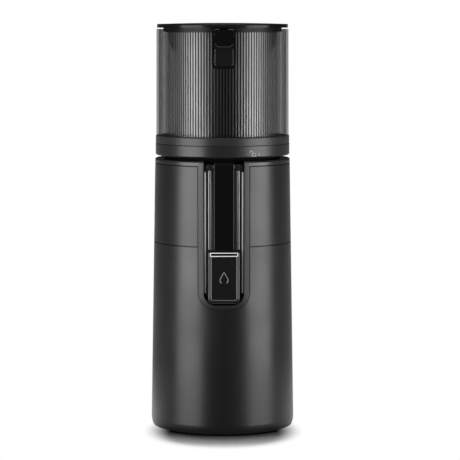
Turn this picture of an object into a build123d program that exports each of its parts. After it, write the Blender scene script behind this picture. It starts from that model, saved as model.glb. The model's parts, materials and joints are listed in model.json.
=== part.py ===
from build123d import *
import os
from math import acos, asin, atan2, cos, degrees, pi, radians, sin, sqrt, tan

# Cold press juicer with a full-width feed hopper. A tapered round body holds the motor and gearbox.
# The juicing chamber drops into a well in its top, with a spout that slides down a slot in the front,
# and the clear hopper locks onto the chamber with a bayonet.
# Millimetres. +Z is up, the front faces -Y, and the origin is on the upright axis at table level.

os.makedirs("parts", exist_ok=True)

# ---- Heights above the table ----
rim_z = 1.2  # lower edge of the housing
edge_height = 8.8  # rounded lower edge, above which the housing is widest
body_top_z = 294.5
collar_height = 5.5  # top collar, above the groove
neck_height = 3.5  # dark gap between the body and the chamber's ring
ring_height = 12.5
collar_band = 8.6  # collar of the hopper
hopper_height = 115.5
liner_drop = 3.6  # the liner ends this far under the top of the hopper
lid_groove = 1.4  # groove between the hopper and the lid's disc
lid_thickness = 4.0
lid_crown = 1.2  # how far the middle of the disc stands above its edge
base_edge_z = rim_z + edge_height
groove_z = body_top_z - collar_height
ring_z = body_top_z + neck_height
ring_top_z = ring_z + ring_height
collar_top_z = ring_top_z + collar_band
hopper_top_z = collar_top_z + hopper_height
liner_top_z = hopper_top_z - liner_drop
lid_z = hopper_top_z + lid_groove
lid_top_z = lid_z + lid_thickness

# ---- Body ----
base_radius = 78.3
body_taper = 4.7
rim_inset = 1.7
wall = 2.6
seam_gap = 0.5
seam_edge = 0.3  # bevel of the outer edges along the seam and the groove
groove_gap = 0.6
collar_round = 1.8
lip_height = 5.0  # tongue of the lower housing inside the upper one
lip_wall = 1.8
fit_gap = 0.15  # between fixed pieces that are assembled by hand
snug_gap = 0.05  # between fixed pieces that are pressed or glued together
seat_gap = 0.3  # between a lifted piece and its seat
running_gap = 0.06  # radial clearance of a pin or shaft that turns
overcut = 1.0  # how far a cut runs past the face it opens
flange_height = 2.8  # flange of the well, which carries the top collar
ledge_height = 2.8  # ledge of the upper housing under that flange
top_radius = base_radius - body_taper
rim_radius = base_radius - rim_inset

# ---- Slot in the front and its frame ----
slot_half = 21.8
slot_bottom_z = 140.7
slot_corner = 13.0
frame_border = 5.5
frame_foot = 4.0
frame_proud = 0.8
frame_round = 1.4  # rounding of the frame's front edges
frame_gap = 0.35
pocket_wall = 1.8
frame_half = slot_half + frame_border
frame_bottom_z = slot_bottom_z - frame_foot
frame_corner = slot_corner + frame_border - 0.5

# ---- Drive shaft ----
shaft_radius = 8.5
shaft_shoulder = 3.5
shaft_reach = 7.0  # round part of the shaft above the floor of the well
hex_width = 14.0
hex_length = 27.0
hex_clearance = 0.2
hex_chamfer = 1.0

# ---- Chamber and its well ----
ring_step = 0.45  # the chamber's ring is this much narrower than the top of the body
ring_overhang = 10.65  # and stands out this far over its drum
well_gap = 0.9
well_wall = 2.0
well_depth = 88.5
well_floor = 3.0
seam_drop = 3.0  # the seam of the housings lies this far under the floor of the well
seal_wall = 4.5
seal_height = 6.0
seal_boss_wall = 3.0
drum_wall = 2.5
drum_floor = 3.7
drum_rise = 3.0  # the drum reaches this far up into its ring
drum_hub_gap = 3.0
drum_hub_wall = 3.5
drum_hub_height = 4.0
drum_ledge_edge = 1.5
drum_ledge_height = 4.0
ring_wall = 2.55
ring_floor = 2.5
ring_round = 1.6
ring_edge = 0.4
strainer_gap = 7.6
strainer_drop = 13.0
strainer_wall = 1.4
strainer_flange = 2.0
strainer_foot = 11.2
strainer_slots = 36
strainer_slot_width = 1.2
strainer_slot_height = 58.0
ring_radius = top_radius - ring_step
drum_radius = ring_radius - ring_overhang
well_radius = drum_radius + well_gap
well_floor_z = body_top_z - well_depth
seam_z = well_floor_z - seam_drop
seal_radius = shaft_radius + seal_wall
drum_hub_radius = shaft_radius + drum_hub_gap
drum_top_z = ring_z + drum_rise
strainer_radius = drum_radius - drum_wall - strainer_gap
strainer_ledge_z = drum_top_z - strainer_drop

# ---- Bayonet between hopper and chamber ----
lug_count = 3
lug_sweep = 20.0  # degrees
lug_height = 2.8
lug_rise = 0.6  # of the lugs above the lower edge of the spigot
lug_middle = 30.0  # angle of the first lug when the hopper is locked
bayonet_turn = 25.0
bayonet_entry = 26.0
spigot_gap = 2.4
spigot_wall = 2.4
spigot_rise = 4.8
bayonet_flange_height = 3.5
bayonet_gap = 0.4
spigot_radius = ring_radius - ring_wall - spigot_gap
spigot_z = ring_z + spigot_rise
lug_z = spigot_z + lug_rise
bayonet_flange_z = ring_top_z - bayonet_flange_height

# ---- Pulp outlet at the rear ----
chute_half = 15.0
chute_wall = 2.4
chute_height = 20.0
chute_proud = 2.4

# ---- Spout, juice lever and cap ----
spout_inset = 3.6
spout_lap = 3.0  # the spout housing reaches this far inwards past the drum's wall
spout_gap = 1.2
spout_drop = 3.5
spout_rise = 7.3
spout_corner = 8.0
pocket_gap = 0.8
trim_width = 1.4
trim_height = 1.3
trim_rise = 5.6
trim_drop = 8.0
channel_half = 8.0
channel_wall = 2.2
channel_height = 12.0
nozzle_rise = 20.0
nozzle_radius = 9.3
nozzle_bore = 7.4
nozzle_length = 4.6
pivot_drop = 6.0
pivot_reach = 1.8
pivot_radius = 1.2
pivot_knuckle = 2.2
eyelet_x = 14.35
eyelet_radius = 3.1
eyelet_hole = 1.7
eyelet_depth = 0.9
eyelet_length = 4.2
eyelet_clearance = 0.6
lever_half = 16.6
lever_slope = 1.5  # from the lever's edge to the start of its sloping flank
panel_half = 10.6
lever_length = 94.5
lever_shoulder = 3.9  # the wide part of the lever ends this far under its pivot
lever_head = 3.3
lever_gap = 0.4
lever_depth = 4.0
lever_edge = 1.3
panel_thickness = 0.9
panel_head = 0.5
panel_edge = 0.3
head_half = 16.7
head_rise = 2.4
head_gap_above = 3.0
head_corner = 5.0
head_proud = 3.0
head_bevel = 3.2
head_bevel_depth = 1.8
head_wall = 1.6
head_side = 2.1
head_gap = 0.6
ledge_half = 15.0
ledge_width = 4.3
ledge_lip = 0.6
ledge_proud = 1.1
ledge_corner = 0.6
plug_clearance = 0.3
plug_flange = 0.6
plug_depth = 3.2
spout_half = slot_half - spout_gap
spout_front_y = spout_inset - top_radius
spout_back_y = spout_lap - drum_radius
spout_top_z = body_top_z - spout_drop
spout_bottom_z = slot_bottom_z + spout_rise
pocket_y = spout_back_y + pocket_gap  # rear wall of the slot's pocket
trim_bottom_z = spout_bottom_z + trim_rise
trim_top_z = spout_top_z - trim_drop
nozzle_z = spout_bottom_z + nozzle_rise
pivot_z = body_top_z - pivot_drop
pivot_y = spout_front_y - pivot_reach
eyelet_end_y = spout_front_y - eyelet_length
lever_bottom_z = body_top_z - lever_length
lever_shoulder_z = pivot_z - lever_shoulder
lever_top_z = pivot_z + lever_head
lever_front_y = spout_front_y - lever_depth
panel_top_z = lever_top_z + panel_head
head_bottom_z = slot_bottom_z + head_rise
head_top_z = lever_bottom_z - head_gap_above
head_front_y = lever_front_y - head_proud
ledge_top_z = head_top_z + ledge_lip
ledge_bottom_z = ledge_top_z - ledge_width
ledge_front_y = head_front_y - ledge_proud

# ---- Auger ----
auger_gap = 0.8
auger_rise = 2.5  # of the auger above the round part of the shaft
auger_head = 1.0  # of the auger above the underside of the ring
auger_core_bottom = 34.0
auger_core_top = 15.0
flight_thickness = 6.0
flight_turn = 540.0
blade_gap = 3.0
blade_width = 9.0
blade_height = 7.0
blade_trail = 1.2  # radius of a wing's rear edge over that of its front edge
blade_hub_radius = 16.0
blade_hub_height = 4.0
feed_radius = drum_radius - drum_wall
auger_radius = strainer_radius - strainer_wall - auger_gap
blade_radius = feed_radius - blade_gap

# ---- Hopper ----
hopper_inset = 0.6  # the clear wall stands this far inside its collar
hopper_taper = 0.45
hopper_wall_thickness = 2.4
liner_wall = 1.4
rib_height = 1.0
rib_width = 1.6
rib_count = 120
collar_step = 0.2
collar_edge = 0.6
sleeve_wall = 2.3
sleeve_rise = 5.0
collar_radius = ring_radius - collar_step
hopper_foot_radius = collar_radius - hopper_inset
hopper_radius = hopper_foot_radius - hopper_taper
sleeve_z = ring_z + sleeve_rise

# ---- Lid and its hinge ----
lid_inset = 0.6
lid_edge_round = 1.2
hub_overlap = 4.5
hub_gap = 0.6
dish_gap = 0.6
dish_draft = 2.2
dish_slope = 7.2
dish_side = 16.1
dish_bottom = 7.5
dish_wall = 2.0
lid_seal_inset = 0.1
lid_seal_wall = 2.0
lid_seal_height = 1.85
hinge_reach = 3.3
hinge_drop = 2.2
hinge_knuckle = 3.0
hinge_pin_radius = 1.5
hinge_half = 18.0
hinge_lid_half = 9.0
hinge_side_gap = 0.3
hinge_end_gap = 0.1
hinge_bracket_height = 15.4
lid_radius = hopper_radius - lid_inset
hub_radius = feed_radius + hub_overlap
hub_z = liner_top_z + hub_gap
dish_radius = feed_radius - dish_gap
dish_low_radius = dish_radius - dish_draft
dish_floor_radius = dish_low_radius - dish_slope
dish_shoulder_z = hub_z - dish_side
dish_z = dish_shoulder_z - dish_bottom
lid_seal_inner = feed_radius + lid_seal_inset
lid_seal_outer = lid_seal_inner + lid_seal_wall
hinge_y = hopper_radius + hinge_reach
hinge_z = hopper_top_z - hinge_drop
hinge_bracket_z = hinge_z - hinge_bracket_height

# ---- Lid latch ----
bezel_half = 12.6
bezel_border_x = 1.9
bezel_length = 42.2
bezel_corner = 6.0
bezel_rim = 2.2
bezel_proud = 2.45
bezel_plate = 0.5
bezel_plate_drop = 5.2
latch_pin_reach = 1.65
latch_pin_drop = 2.4
latch_pin_radius = 0.9
latch_back_gap = 0.25
latch_thickness = 1.9
latch_side_gap = 0.4
latch_foot_gap = 1.4
latch_knuckle = 1.7
latch_lug_half = 4.6
latch_lug_radius = 1.6
tab_half = 9.6
tab_reach = 0.8
tab_height = 3.4
pad_half = 9.6
pad_proud = 1.9
pad_gap = 1.0
pad_height = 19.1
pad_chamfer = 3.0
pad_round = 1.5  # of the top edge, which has to pass under the tab of the lid
pad_bridge = 1.6  # height over the pin of the strip in front of the lug
grip_half = 9.4
grip_proud = 0.8
grip_foot = 1.4
grip_gap = 2.4
bezel_inner_half = bezel_half - bezel_border_x
bezel_bottom_z = hopper_top_z - bezel_length
bezel_radius = hopper_foot_radius + bezel_proud
latch_pin_y = -hopper_foot_radius - latch_pin_reach
latch_pin_z = hopper_top_z - latch_pin_drop
bezel_plate_top_z = latch_pin_z - bezel_plate_drop
latch_half = bezel_inner_half - latch_side_gap
latch_bottom_z = bezel_bottom_z + bezel_rim + latch_foot_gap
latch_inner_radius = hopper_foot_radius + bezel_plate + latch_back_gap
latch_radius = latch_inner_radius + latch_thickness
tab_end_y = -latch_radius - tab_reach
pad_radius = latch_radius + pad_proud
pad_top_z = lid_z - pad_gap
pad_bottom_z = pad_top_z - pad_height
grip_radius = latch_radius + grip_proud
grip_top_z = pad_bottom_z - grip_gap
grip_bottom_z = latch_bottom_z + grip_foot

# ---- Base ----
plate_thickness = 2.8
plate_gap = 0.3
foot_radius = 8.0
foot_height = 3.4
foot_count = 4
foot_inset = 16.6
foot_recess = 1.0
screw_count = 4
screw_angle = 45.0
screw_inset = 10.6
screw_radius = 1.5
screw_head_radius = 3.2
screw_head_height = 1.6
screw_length = 12.0
boss_radius = 4.2
boss_height = 16.8
boss_rib = 3.0
vent_count = 18
vent_width = 2.4
vent_length = 12.0
vent_circle = 46.0
foot_circle = rim_radius - foot_inset
screw_circle = rim_radius - screw_inset

# ---- Motor ----
can_radius = 44.0
can_wall = 2.0
end_cap_height = 9.0
can_height = 86.0
damper_height = 8.0
damper_radius = 6.0
damper_count = 3
damper_angle = 90.0
damper_inset = 8.0
damper_post_radius = 2.0
core_bottom = 22.0  # above the can's lower edge
core_height = 44.0
stator_depth = 17.2  # between the can's bore and the rotor's gap
air_gap = 0.6
stator_slots = 12
slot_width = 5.0
slot_depth = 9.0
winding_height = 6.0
motor_shaft_radius = 5.0
motor_bearing_wall = 6.0
motor_bearing_height = 7.0
fan_gap = 6.0
fan_height = 8.0
fan_blades = 9
fan_hub_radius = 9.0
fan_blade_width = 1.6
damper_circle = can_radius - damper_inset
stator_bore = can_radius - can_wall - stator_depth
rotor_radius = stator_bore - air_gap
motor_bearing_radius = motor_shaft_radius + motor_bearing_wall
fan_radius = can_radius - can_wall - fan_gap

# ---- Gearbox: two planetary stages in one ring gear ----
gear_module = 1.5
sun_teeth = 12
planet_teeth = 18
gear_addendum = 0.8
gear_dedendum = 1.05
gear_backlash = 0.2
pressure_angle = 20.0
planet_count = 3
planet_width = 13.0
planet_pin_radius = 3.0
ring_gear_wall = 9.9  # from the pitch circle to the outside
carrier_border = 10.5
carrier_thickness = 5.0
stage_gap = 1.0
case_wall = 3.0
case_floor = 5.0
cover_thickness = 17.0
output_bearing_wall = 9.0
output_bearing_height = 12.0
post_inset = 5.9
post_radius = 5.0
ring_teeth = sun_teeth + 2 * planet_teeth
planet_circle = gear_module * (sun_teeth + planet_teeth) / 2
ring_gear_radius = ring_teeth * gear_module / 2 + ring_gear_wall
carrier_radius = planet_circle + carrier_border
output_radius = shaft_radius + shaft_shoulder
output_bearing_radius = output_radius + output_bearing_wall
post_circle = ring_gear_radius - post_inset

# ---- Electrics ----
switch_z = 66.0
switch_half_width = 8.4
switch_half_height = 16.0
bezel_border = 2.4
switch_sunk = 0.2
bezel_depth = 13.0
rocker_half_width = 8.0
rocker_half_height = 14.0
rocker_depth = 7.0  # from the pivot to the tips
rocker_sunk = 0.2
rocker_valley = 1.6
rocker_pin_radius = 1.5
rocker_side = 3.0  # depth of the rocker at its ends
rocker_back = 2.4  # from the pivot to the back
gland_z = 18.0
gland_radius = 5.9
gland_bore = 3.6
gland_flange_radius = 8.0
gland_flange = 3.4
gland_length = 9.0
board_half_width = 28.0
board_height = 86.0
board_thickness = 1.6
board_gap = 6.0  # between the motor and the board
board_clip = 9.0
board_parts = ((-14, 30, 12), (6, 30, 9), (16, 52, 8), (-20, 60, 14))  # x, height, size
sensor_drop = 11.5
sensor_height = 14.0
sensor_thickness = 2.6
sensor_width = 4.2
magnet_size = 6.0
magnet_thickness = 2.4
board_y = can_radius + board_gap
sensor_top_z = body_top_z - sensor_drop

upright = (Align.CENTER, Align.CENTER, Align.MIN)


# ---- Helpers ----
def body_radius(z):
    """Outer radius of the tapered housing at a height."""
    taper = (base_radius - top_radius) / (body_top_z - base_edge_z)
    return base_radius - (z - base_edge_z) * taper


def save(sub_part, name):
    """Label a finished sub-part and write it under its own name."""
    sub_part.part.label = name
    export_step(sub_part.part, f"parts/{name}.step")


def turned(points, mode=Mode.ADD, rounds=0.0, foot_rounds=0.0, ease=fillet):
    """Turn an outline of (radius, height) points about the axis, with its outer corners eased if asked."""
    with BuildSketch(Plane.XZ) as outline:
        with BuildLine():
            Polyline(*points, close=True)
        make_face()
        if rounds > 0:
            ease(outline.vertices().sort_by(lambda corner: corner.X + corner.Y)[-1:], rounds)
        if foot_rounds > 0:
            ease(outline.vertices().sort_by(lambda corner: corner.X - corner.Y)[-1:], foot_rounds)
    revolve(outline.sketch, axis=Axis.Z, mode=mode)


def tube(outer, inner, bottom, top, mode=Mode.ADD):
    """A plain upright ring."""
    turned([(inner, bottom), (outer, bottom), (outer, top), (inner, top)], mode)


def taper_band(bottom, top, outer_inset, inner_inset, rounds=0.0, foot_rounds=0.0, ease=fillet):
    """A band that follows the taper of the housing, between two depths under its surface."""
    turned(
        [
            (body_radius(bottom) - inner_inset, bottom),
            (body_radius(bottom) - outer_inset, bottom),
            (body_radius(top) - outer_inset, top),
            (body_radius(top) - inner_inset, top),
        ],
        rounds=rounds,
        foot_rounds=foot_rounds,
        ease=ease,
    )


def front_outline(half, bottom, top, corner, back_y, front_y, mode=Mode.ADD):
    """A block seen as an upright U from the front, with its two lower corners rounded."""
    with BuildSketch(Plane.XZ.offset(-back_y)) as outline:
        with Locations((0, (bottom + top) / 2)):
            Rectangle(2 * half, top - bottom)
        if corner > 0:
            fillet(outline.vertices().group_by(Axis.Y)[0], corner)
    extrude(outline.sketch, amount=back_y - front_y, mode=mode)


def block(x_range, y_range, z_range, mode=Mode.ADD):
    """A box between two limits on each axis."""
    middle = [sum(limits) / 2 for limits in (x_range, y_range, z_range)]
    size = [max(limits) - min(limits) for limits in (x_range, y_range, z_range)]
    with Locations(tuple(middle)):
        Box(*size, mode=mode)


def cross_rod(radius, y, z, x_start, x_end, mode=Mode.ADD):
    """A round rod along X."""
    with BuildSketch(Plane.YZ.offset(x_start)) as section:
        with Locations((y, z)):
            Circle(radius)
    extrude(section.sketch, amount=x_end - x_start, mode=mode)


def front_rod(radius, x, z, back_y, front_y, mode=Mode.ADD):
    """A round rod along Y."""
    with BuildSketch(Plane.XZ.offset(-back_y)) as section:
        with Locations((x, z)):
            Circle(radius)
    extrude(section.sketch, amount=back_y - front_y, mode=mode)


def side_profile(points, half_width, mode=Mode.ADD):
    """An outline of (y, z) points, extruded to both sides of the middle plane."""
    with BuildSketch(Plane.YZ) as outline:
        with BuildLine():
            Polyline(*points, close=True)
        make_face()
    extrude(outline.sketch, amount=half_width, both=True, mode=mode)


def ring_sectors(inner, outer, bottom, top, count, middle, sweep, mode=Mode.ADD):
    """Equal sectors of an upright ring, the first one centred on the angle called middle."""
    with BuildSketch(Plane.XY.offset(bottom)) as sectors:
        for number in range(count):
            start = middle - sweep / 2 + number * 360 / count
            with BuildLine():
                outer_arc = CenterArc((0, 0), outer, start, sweep)
                inner_arc = CenterArc((0, 0), inner, start, sweep)
                Line(inner_arc @ 0, outer_arc @ 0)
                Line(inner_arc @ 1, outer_arc @ 1)
            make_face()
    extrude(sectors.sketch, amount=top - bottom, mode=mode)


def polar_points(circle, count, start=0.0):
    """Points spaced evenly round a circle."""
    angles = [radians(start + number * 360 / count) for number in range(count)]
    return [(circle * cos(angle), circle * sin(angle)) for angle in angles]


def involute(angle):
    return tan(angle) - angle


def gear_outline(teeth, addendum, dedendum, backlash, turn=0.0, steps=5):
    """Points round an involute gear, each flank in a few straight steps."""
    pitch = teeth * gear_module / 2
    base = pitch * cos(radians(pressure_angle))
    root = pitch - dedendum * gear_module
    tip = pitch + addendum * gear_module
    pitch_half = pi / (2 * teeth) - backlash / (2 * pitch)

    def half_tooth(radius):
        return pitch_half + involute(radians(pressure_angle)) - involute(acos(min(1, base / radius)))

    start = max(base, root)
    radii = [start + (tip - start) * step / (steps - 1) for step in range(steps)]
    flank = [(radius, half_tooth(radius)) for radius in radii]
    if root < base:
        flank.insert(0, (root, half_tooth(start)))
    points = []
    for number in range(teeth):
        centre = turn + 2 * pi * number / teeth
        right = [(radius, centre - half) for radius, half in flank]
        left = [(radius, centre + half) for radius, half in reversed(flank)]
        points += [(radius * cos(angle), radius * sin(angle)) for radius, angle in right + left]
    return points


def gear(teeth, bottom, height, turn=0.0):
    """An external spur gear on the upright axis."""
    with BuildSketch(Plane.XY.offset(bottom)) as outline:
        with BuildLine():
            Polyline(*gear_outline(teeth, gear_addendum, gear_dedendum, gear_backlash, turn), close=True)
        make_face()
    extrude(outline.sketch, amount=height)


# ---- Levels that follow from the sizes above ----
housing_top_z = groove_z - groove_gap / 2
collar_z = groove_z + groove_gap / 2
plate_z = foot_height - foot_recess
plate_top_z = plate_z + plate_thickness
motor_z = plate_top_z + damper_height
can_z = motor_z + end_cap_height
case_z = can_z + can_height
gears_z = case_z + case_floor
first_planet_z = gears_z + 2 * stage_gap
first_carrier_z = first_planet_z + planet_width + stage_gap
second_planet_z = first_carrier_z + carrier_thickness + 1.5 * stage_gap
second_carrier_z = second_planet_z + planet_width + stage_gap
cover_z = second_carrier_z + carrier_thickness + 2 * stage_gap
cover_top_z = cover_z + cover_thickness
boss_top_z = plate_top_z + boss_height
well_flange_z = collar_z - flange_height
seal_z = well_floor_z - seal_height
drum_z = well_floor_z + seat_gap
drum_floor_z = drum_z + drum_floor
shaft_round_z = well_floor_z + shaft_reach
hex_top_z = shaft_round_z + hex_length
auger_bottom_z = shaft_round_z + auger_rise
auger_top_z = ring_z + auger_head
chute_bottom_z = drum_floor_z
chute_top_z = chute_bottom_z + chute_height
chute_end_y = body_radius(chute_bottom_z) + chute_proud
bezel_face_y = body_radius(switch_z) - switch_sunk
rocker_tip_y = bezel_face_y - rocker_sunk
rocker_pivot_y = rocker_tip_y - rocker_depth
rocker_valley_y = rocker_tip_y - rocker_valley
slot_opening = frame_half + frame_gap
core_z = can_z + core_bottom
stator_radius = can_radius - can_wall - fit_gap
chute_outer = chute_half + chute_wall
entry_middle = lug_middle - bayonet_turn
channel_top_z = drum_floor_z + channel_height
screw_points = polar_points(screw_circle, screw_count, screw_angle)
post_points = polar_points(post_circle, screw_count, screw_angle)
foot_points = polar_points(foot_circle, foot_count)
damper_points = polar_points(damper_circle, damper_count, damper_angle)
planet_points = polar_points(planet_circle, planet_count)

# ================= Body =================

# ---- Lower housing: tapered tube with a rounded lower edge and a tongue for the upper housing ----
with BuildPart() as lower_housing:
    taper_band(base_edge_z, seam_z - seam_gap / 2, 0, wall, seam_edge, ease=chamfer)
    with BuildSketch(Plane.XZ):
        with BuildLine():
            TangentArc((base_radius, base_edge_z), (rim_radius, rim_z), tangent=(0, -1))
            Polyline(
                (rim_radius, rim_z),
                (rim_radius - wall, rim_z),
                (base_radius - wall, base_edge_z),
                (base_radius, base_edge_z),
            )
        make_face()
    revolve(axis=Axis.Z)
    taper_band(seam_z - 2 * lip_height, seam_z - seam_gap / 2, wall / 2, wall + lip_wall)
    taper_band(seam_z - lip_height, seam_z + lip_height, wall + fit_gap, wall + lip_wall)
    front_outline(slot_opening, frame_bottom_z - frame_gap, seam_z + 2 * lip_height,
                  frame_corner + frame_gap, -drum_radius / 2, -base_radius - wall, Mode.SUBTRACT)
    chute_x = chute_outer + fit_gap
    block((-chute_x, chute_x), (well_radius, base_radius),
          (chute_bottom_z - chute_wall - fit_gap, seam_z + 2 * lip_height), Mode.SUBTRACT)
    for x, y in screw_points:
        with Locations((x, y, plate_top_z + fit_gap)):
            Cylinder(boss_radius, boss_top_z - plate_top_z - fit_gap, align=upright)
    for angle in (screw_angle, screw_angle + 90):
        with Locations(Location((0, 0, (base_edge_z + boss_top_z) / 2), (0, 0, angle))):
            Box(2 * (base_radius - wall / 2), boss_rib, boss_top_z - base_edge_z)
    Cylinder(screw_circle - boss_radius / 2, boss_top_z, align=upright, mode=Mode.SUBTRACT)
    with Locations(*[(x, y, 0) for x, y in screw_points]):
        Cylinder(screw_radius + snug_gap, screw_length + plate_z + fit_gap, align=upright,
                 mode=Mode.SUBTRACT)
    switch_x = switch_half_width + bezel_border / 2
    switch_height = switch_half_height + bezel_border / 2
    block((-switch_x, switch_x), (well_radius, base_radius),
          (switch_z - switch_height, switch_z + switch_height), Mode.SUBTRACT)
    front_rod(gland_radius + fit_gap, 0, gland_z, base_radius + wall, well_radius, Mode.SUBTRACT)
save(lower_housing, "lower_housing")

# ---- Upper housing: carries the well on an inner ledge ----
with BuildPart() as upper_housing:
    taper_band(seam_z + seam_gap / 2, housing_top_z, 0, wall, seam_edge, seam_edge, chamfer)
    taper_band(well_flange_z - fit_gap - ledge_height, well_flange_z - fit_gap, wall / 2, wall + ledge_height)
    front_outline(slot_opening, frame_bottom_z - frame_gap, body_top_z, frame_corner + frame_gap,
                  -drum_radius / 2, -base_radius, Mode.SUBTRACT)
    block((-chute_x, chute_x), (well_radius, base_radius),
          (chute_bottom_z - chute_wall - fit_gap, chute_top_z + chute_wall + fit_gap), Mode.SUBTRACT)
save(upper_housing, "upper_housing")

# ---- Top collar, open at the front where the frame of the slot passes ----
with BuildPart() as top_collar:
    collar_inner = well_radius + fit_gap
    turned([(collar_inner, collar_z), (body_radius(collar_z), collar_z),
            (body_radius(body_top_z), body_top_z), (collar_inner, body_top_z)],
           rounds=collar_round, foot_rounds=seam_edge)
    frame_sweep = 2 * degrees(asin((frame_half - frame_border / 2) / top_radius))
    ring_sectors(top_radius - wall / 2, base_radius, collar_z - overcut, body_top_z + overcut, 1, -90,
                 frame_sweep, Mode.SUBTRACT)

# ---- Trim frame: the frame of the slot, one with the top collar ----
with BuildPart() as trim_frame:
    taper_band(frame_bottom_z, body_top_z, -frame_proud, wall, collar_round)
    front_outline(frame_half, frame_bottom_z, body_top_z, frame_corner, -drum_radius / 2,
                  -base_radius - wall, Mode.INTERSECT)
    front_outline(slot_half, slot_bottom_z, body_top_z + wall, slot_corner, -drum_radius / 2,
                  -base_radius - wall, Mode.SUBTRACT)
    frame_face = trim_frame.faces().filter_by(GeomType.CONE).sort_by(SortBy.AREA)[-1]
    fillet(frame_face.edges().filter_by(lambda edge: edge.center().Z < groove_z), frame_round)
    add(top_collar.part)
    block((-slot_half, slot_half), (-drum_radius / 2, -base_radius), (collar_z, body_top_z), Mode.SUBTRACT)
save(trim_frame, "trim_frame")

# ---- Chamber well: cup for the chamber and pocket for its spout ----
with BuildPart() as chamber_well:
    front_outline(slot_half + pocket_wall, slot_bottom_z - pocket_wall, collar_z, slot_corner + pocket_wall,
                  pocket_y + pocket_wall, -base_radius, Mode.ADD)
    pocket_inset = wall + fit_gap
    pocket_foot_z = slot_bottom_z - 2 * pocket_wall
    turned([(0, pocket_foot_z), (body_radius(slot_bottom_z) - pocket_inset, pocket_foot_z),
            (body_radius(collar_z) - pocket_inset, collar_z), (0, collar_z)], Mode.INTERSECT)
    seal_boss = seal_radius + seal_boss_wall
    well_outer = well_radius + well_wall
    flange_radius = body_radius(collar_z) - pocket_inset
    turned([(seal_radius, seal_z), (seal_boss, seal_z), (seal_boss, well_floor_z - well_floor),
            (well_outer, well_floor_z - well_floor), (well_outer, well_flange_z),
            (flange_radius, well_flange_z), (flange_radius, collar_z), (well_radius, collar_z),
            (well_radius, well_floor_z), (seal_radius, well_floor_z)])
    with Locations(*[(x, y, cover_top_z + fit_gap) for x, y in post_points]):
        Cylinder(post_radius, well_floor_z - well_floor - cover_top_z - fit_gap, align=upright)
    front_outline(slot_half, slot_bottom_z, collar_z, slot_corner, pocket_y, -base_radius, Mode.SUBTRACT)
    tube(well_radius, seal_radius, well_floor_z, collar_z, Mode.SUBTRACT)
    block((-chute_x, chute_x), (well_radius / 2, base_radius),
          (chute_bottom_z - chute_wall - fit_gap, chute_top_z + chute_wall + fit_gap), Mode.SUBTRACT)
save(chamber_well, "chamber_well")

# ---- Pulp outlet: short duct from the well to the rear of the body ----
with BuildPart() as pulp_chute:
    block((-chute_outer, chute_outer), (well_radius / 2, chute_end_y),
          (chute_bottom_z - chute_wall, chute_top_z + chute_wall))
    block((-chute_half, chute_half), (0, base_radius), (chute_bottom_z, chute_top_z), Mode.SUBTRACT)
    Cylinder(well_radius, hopper_top_z, align=upright, mode=Mode.SUBTRACT)
save(pulp_chute, "pulp_chute")

# ---- Shaft seal in the floor of the well ----
with BuildPart() as shaft_seal:
    tube(seal_radius - snug_gap, shaft_radius + running_gap, seal_z, well_floor_z)
save(shaft_seal, "shaft_seal")

# ---- Base plate: vented disc with recesses for the feet, posts for the dampers and board clips ----
with BuildPart() as base_plate:
    with Locations((0, 0, plate_z)):
        Cylinder(rim_radius - wall - plate_gap, plate_thickness, align=upright)
    with Locations(*[(x, y, 0) for x, y in foot_points]):
        Cylinder(foot_radius + fit_gap, foot_height, align=upright, mode=Mode.SUBTRACT)
    with Locations(*[(x, y, 0) for x, y in screw_points]):
        Cylinder(screw_radius + fit_gap, motor_z, align=upright, mode=Mode.SUBTRACT)
        Cylinder(screw_head_radius + fit_gap, plate_z + screw_head_height + fit_gap, align=upright,
                 mode=Mode.SUBTRACT)
    with BuildSketch(Plane.XY.offset(plate_z)) as vents:
        with PolarLocations(vent_circle, vent_count):
            SlotOverall(vent_length, vent_width)
    extrude(vents.sketch, amount=plate_thickness, mode=Mode.SUBTRACT)
    with Locations(*[(x, y, plate_top_z) for x, y in damper_points]):
        Cylinder(damper_post_radius, damper_height, align=upright)
    for side in (-1, 1):
        clip_x = side * board_half_width
        block((clip_x - board_clip / 2, clip_x + board_clip / 2),
              (board_y - board_thickness, board_y + 2 * board_thickness),
              (plate_top_z, plate_top_z + board_clip))
    block((-board_half_width - fit_gap, board_half_width + fit_gap),
          (board_y - fit_gap, board_y + board_thickness + fit_gap), (plate_top_z, motor_z + board_clip),
          Mode.SUBTRACT)
save(base_plate, "base_plate")

# ---- Four rubber feet ----
with BuildPart() as rubber_feet:
    with Locations(*[(x, y, 0) for x, y in foot_points]):
        Cylinder(foot_radius, foot_height, align=upright)
    chamfer(rubber_feet.edges().filter_by(GeomType.CIRCLE).group_by(Axis.Z)[0], foot_recess / 2)
save(rubber_feet, "rubber_feet")

# ---- Four screws that hold the base plate ----
with BuildPart() as base_screws:
    with Locations(*[(x, y, plate_z) for x, y in screw_points]):
        Cylinder(screw_head_radius, screw_head_height, align=upright)
        Cylinder(screw_radius, screw_length, align=upright)
save(base_screws, "base_screws")

# ================= Motor =================

# ---- Three rubber dampers between the base plate and the motor ----
with BuildPart() as motor_dampers:
    with Locations(*[(x, y, plate_top_z) for x, y in damper_points]):
        Cylinder(damper_radius, damper_height, align=upright)
        Cylinder(damper_post_radius + fit_gap, damper_height, align=upright, mode=Mode.SUBTRACT)
save(motor_dampers, "motor_dampers")

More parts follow.
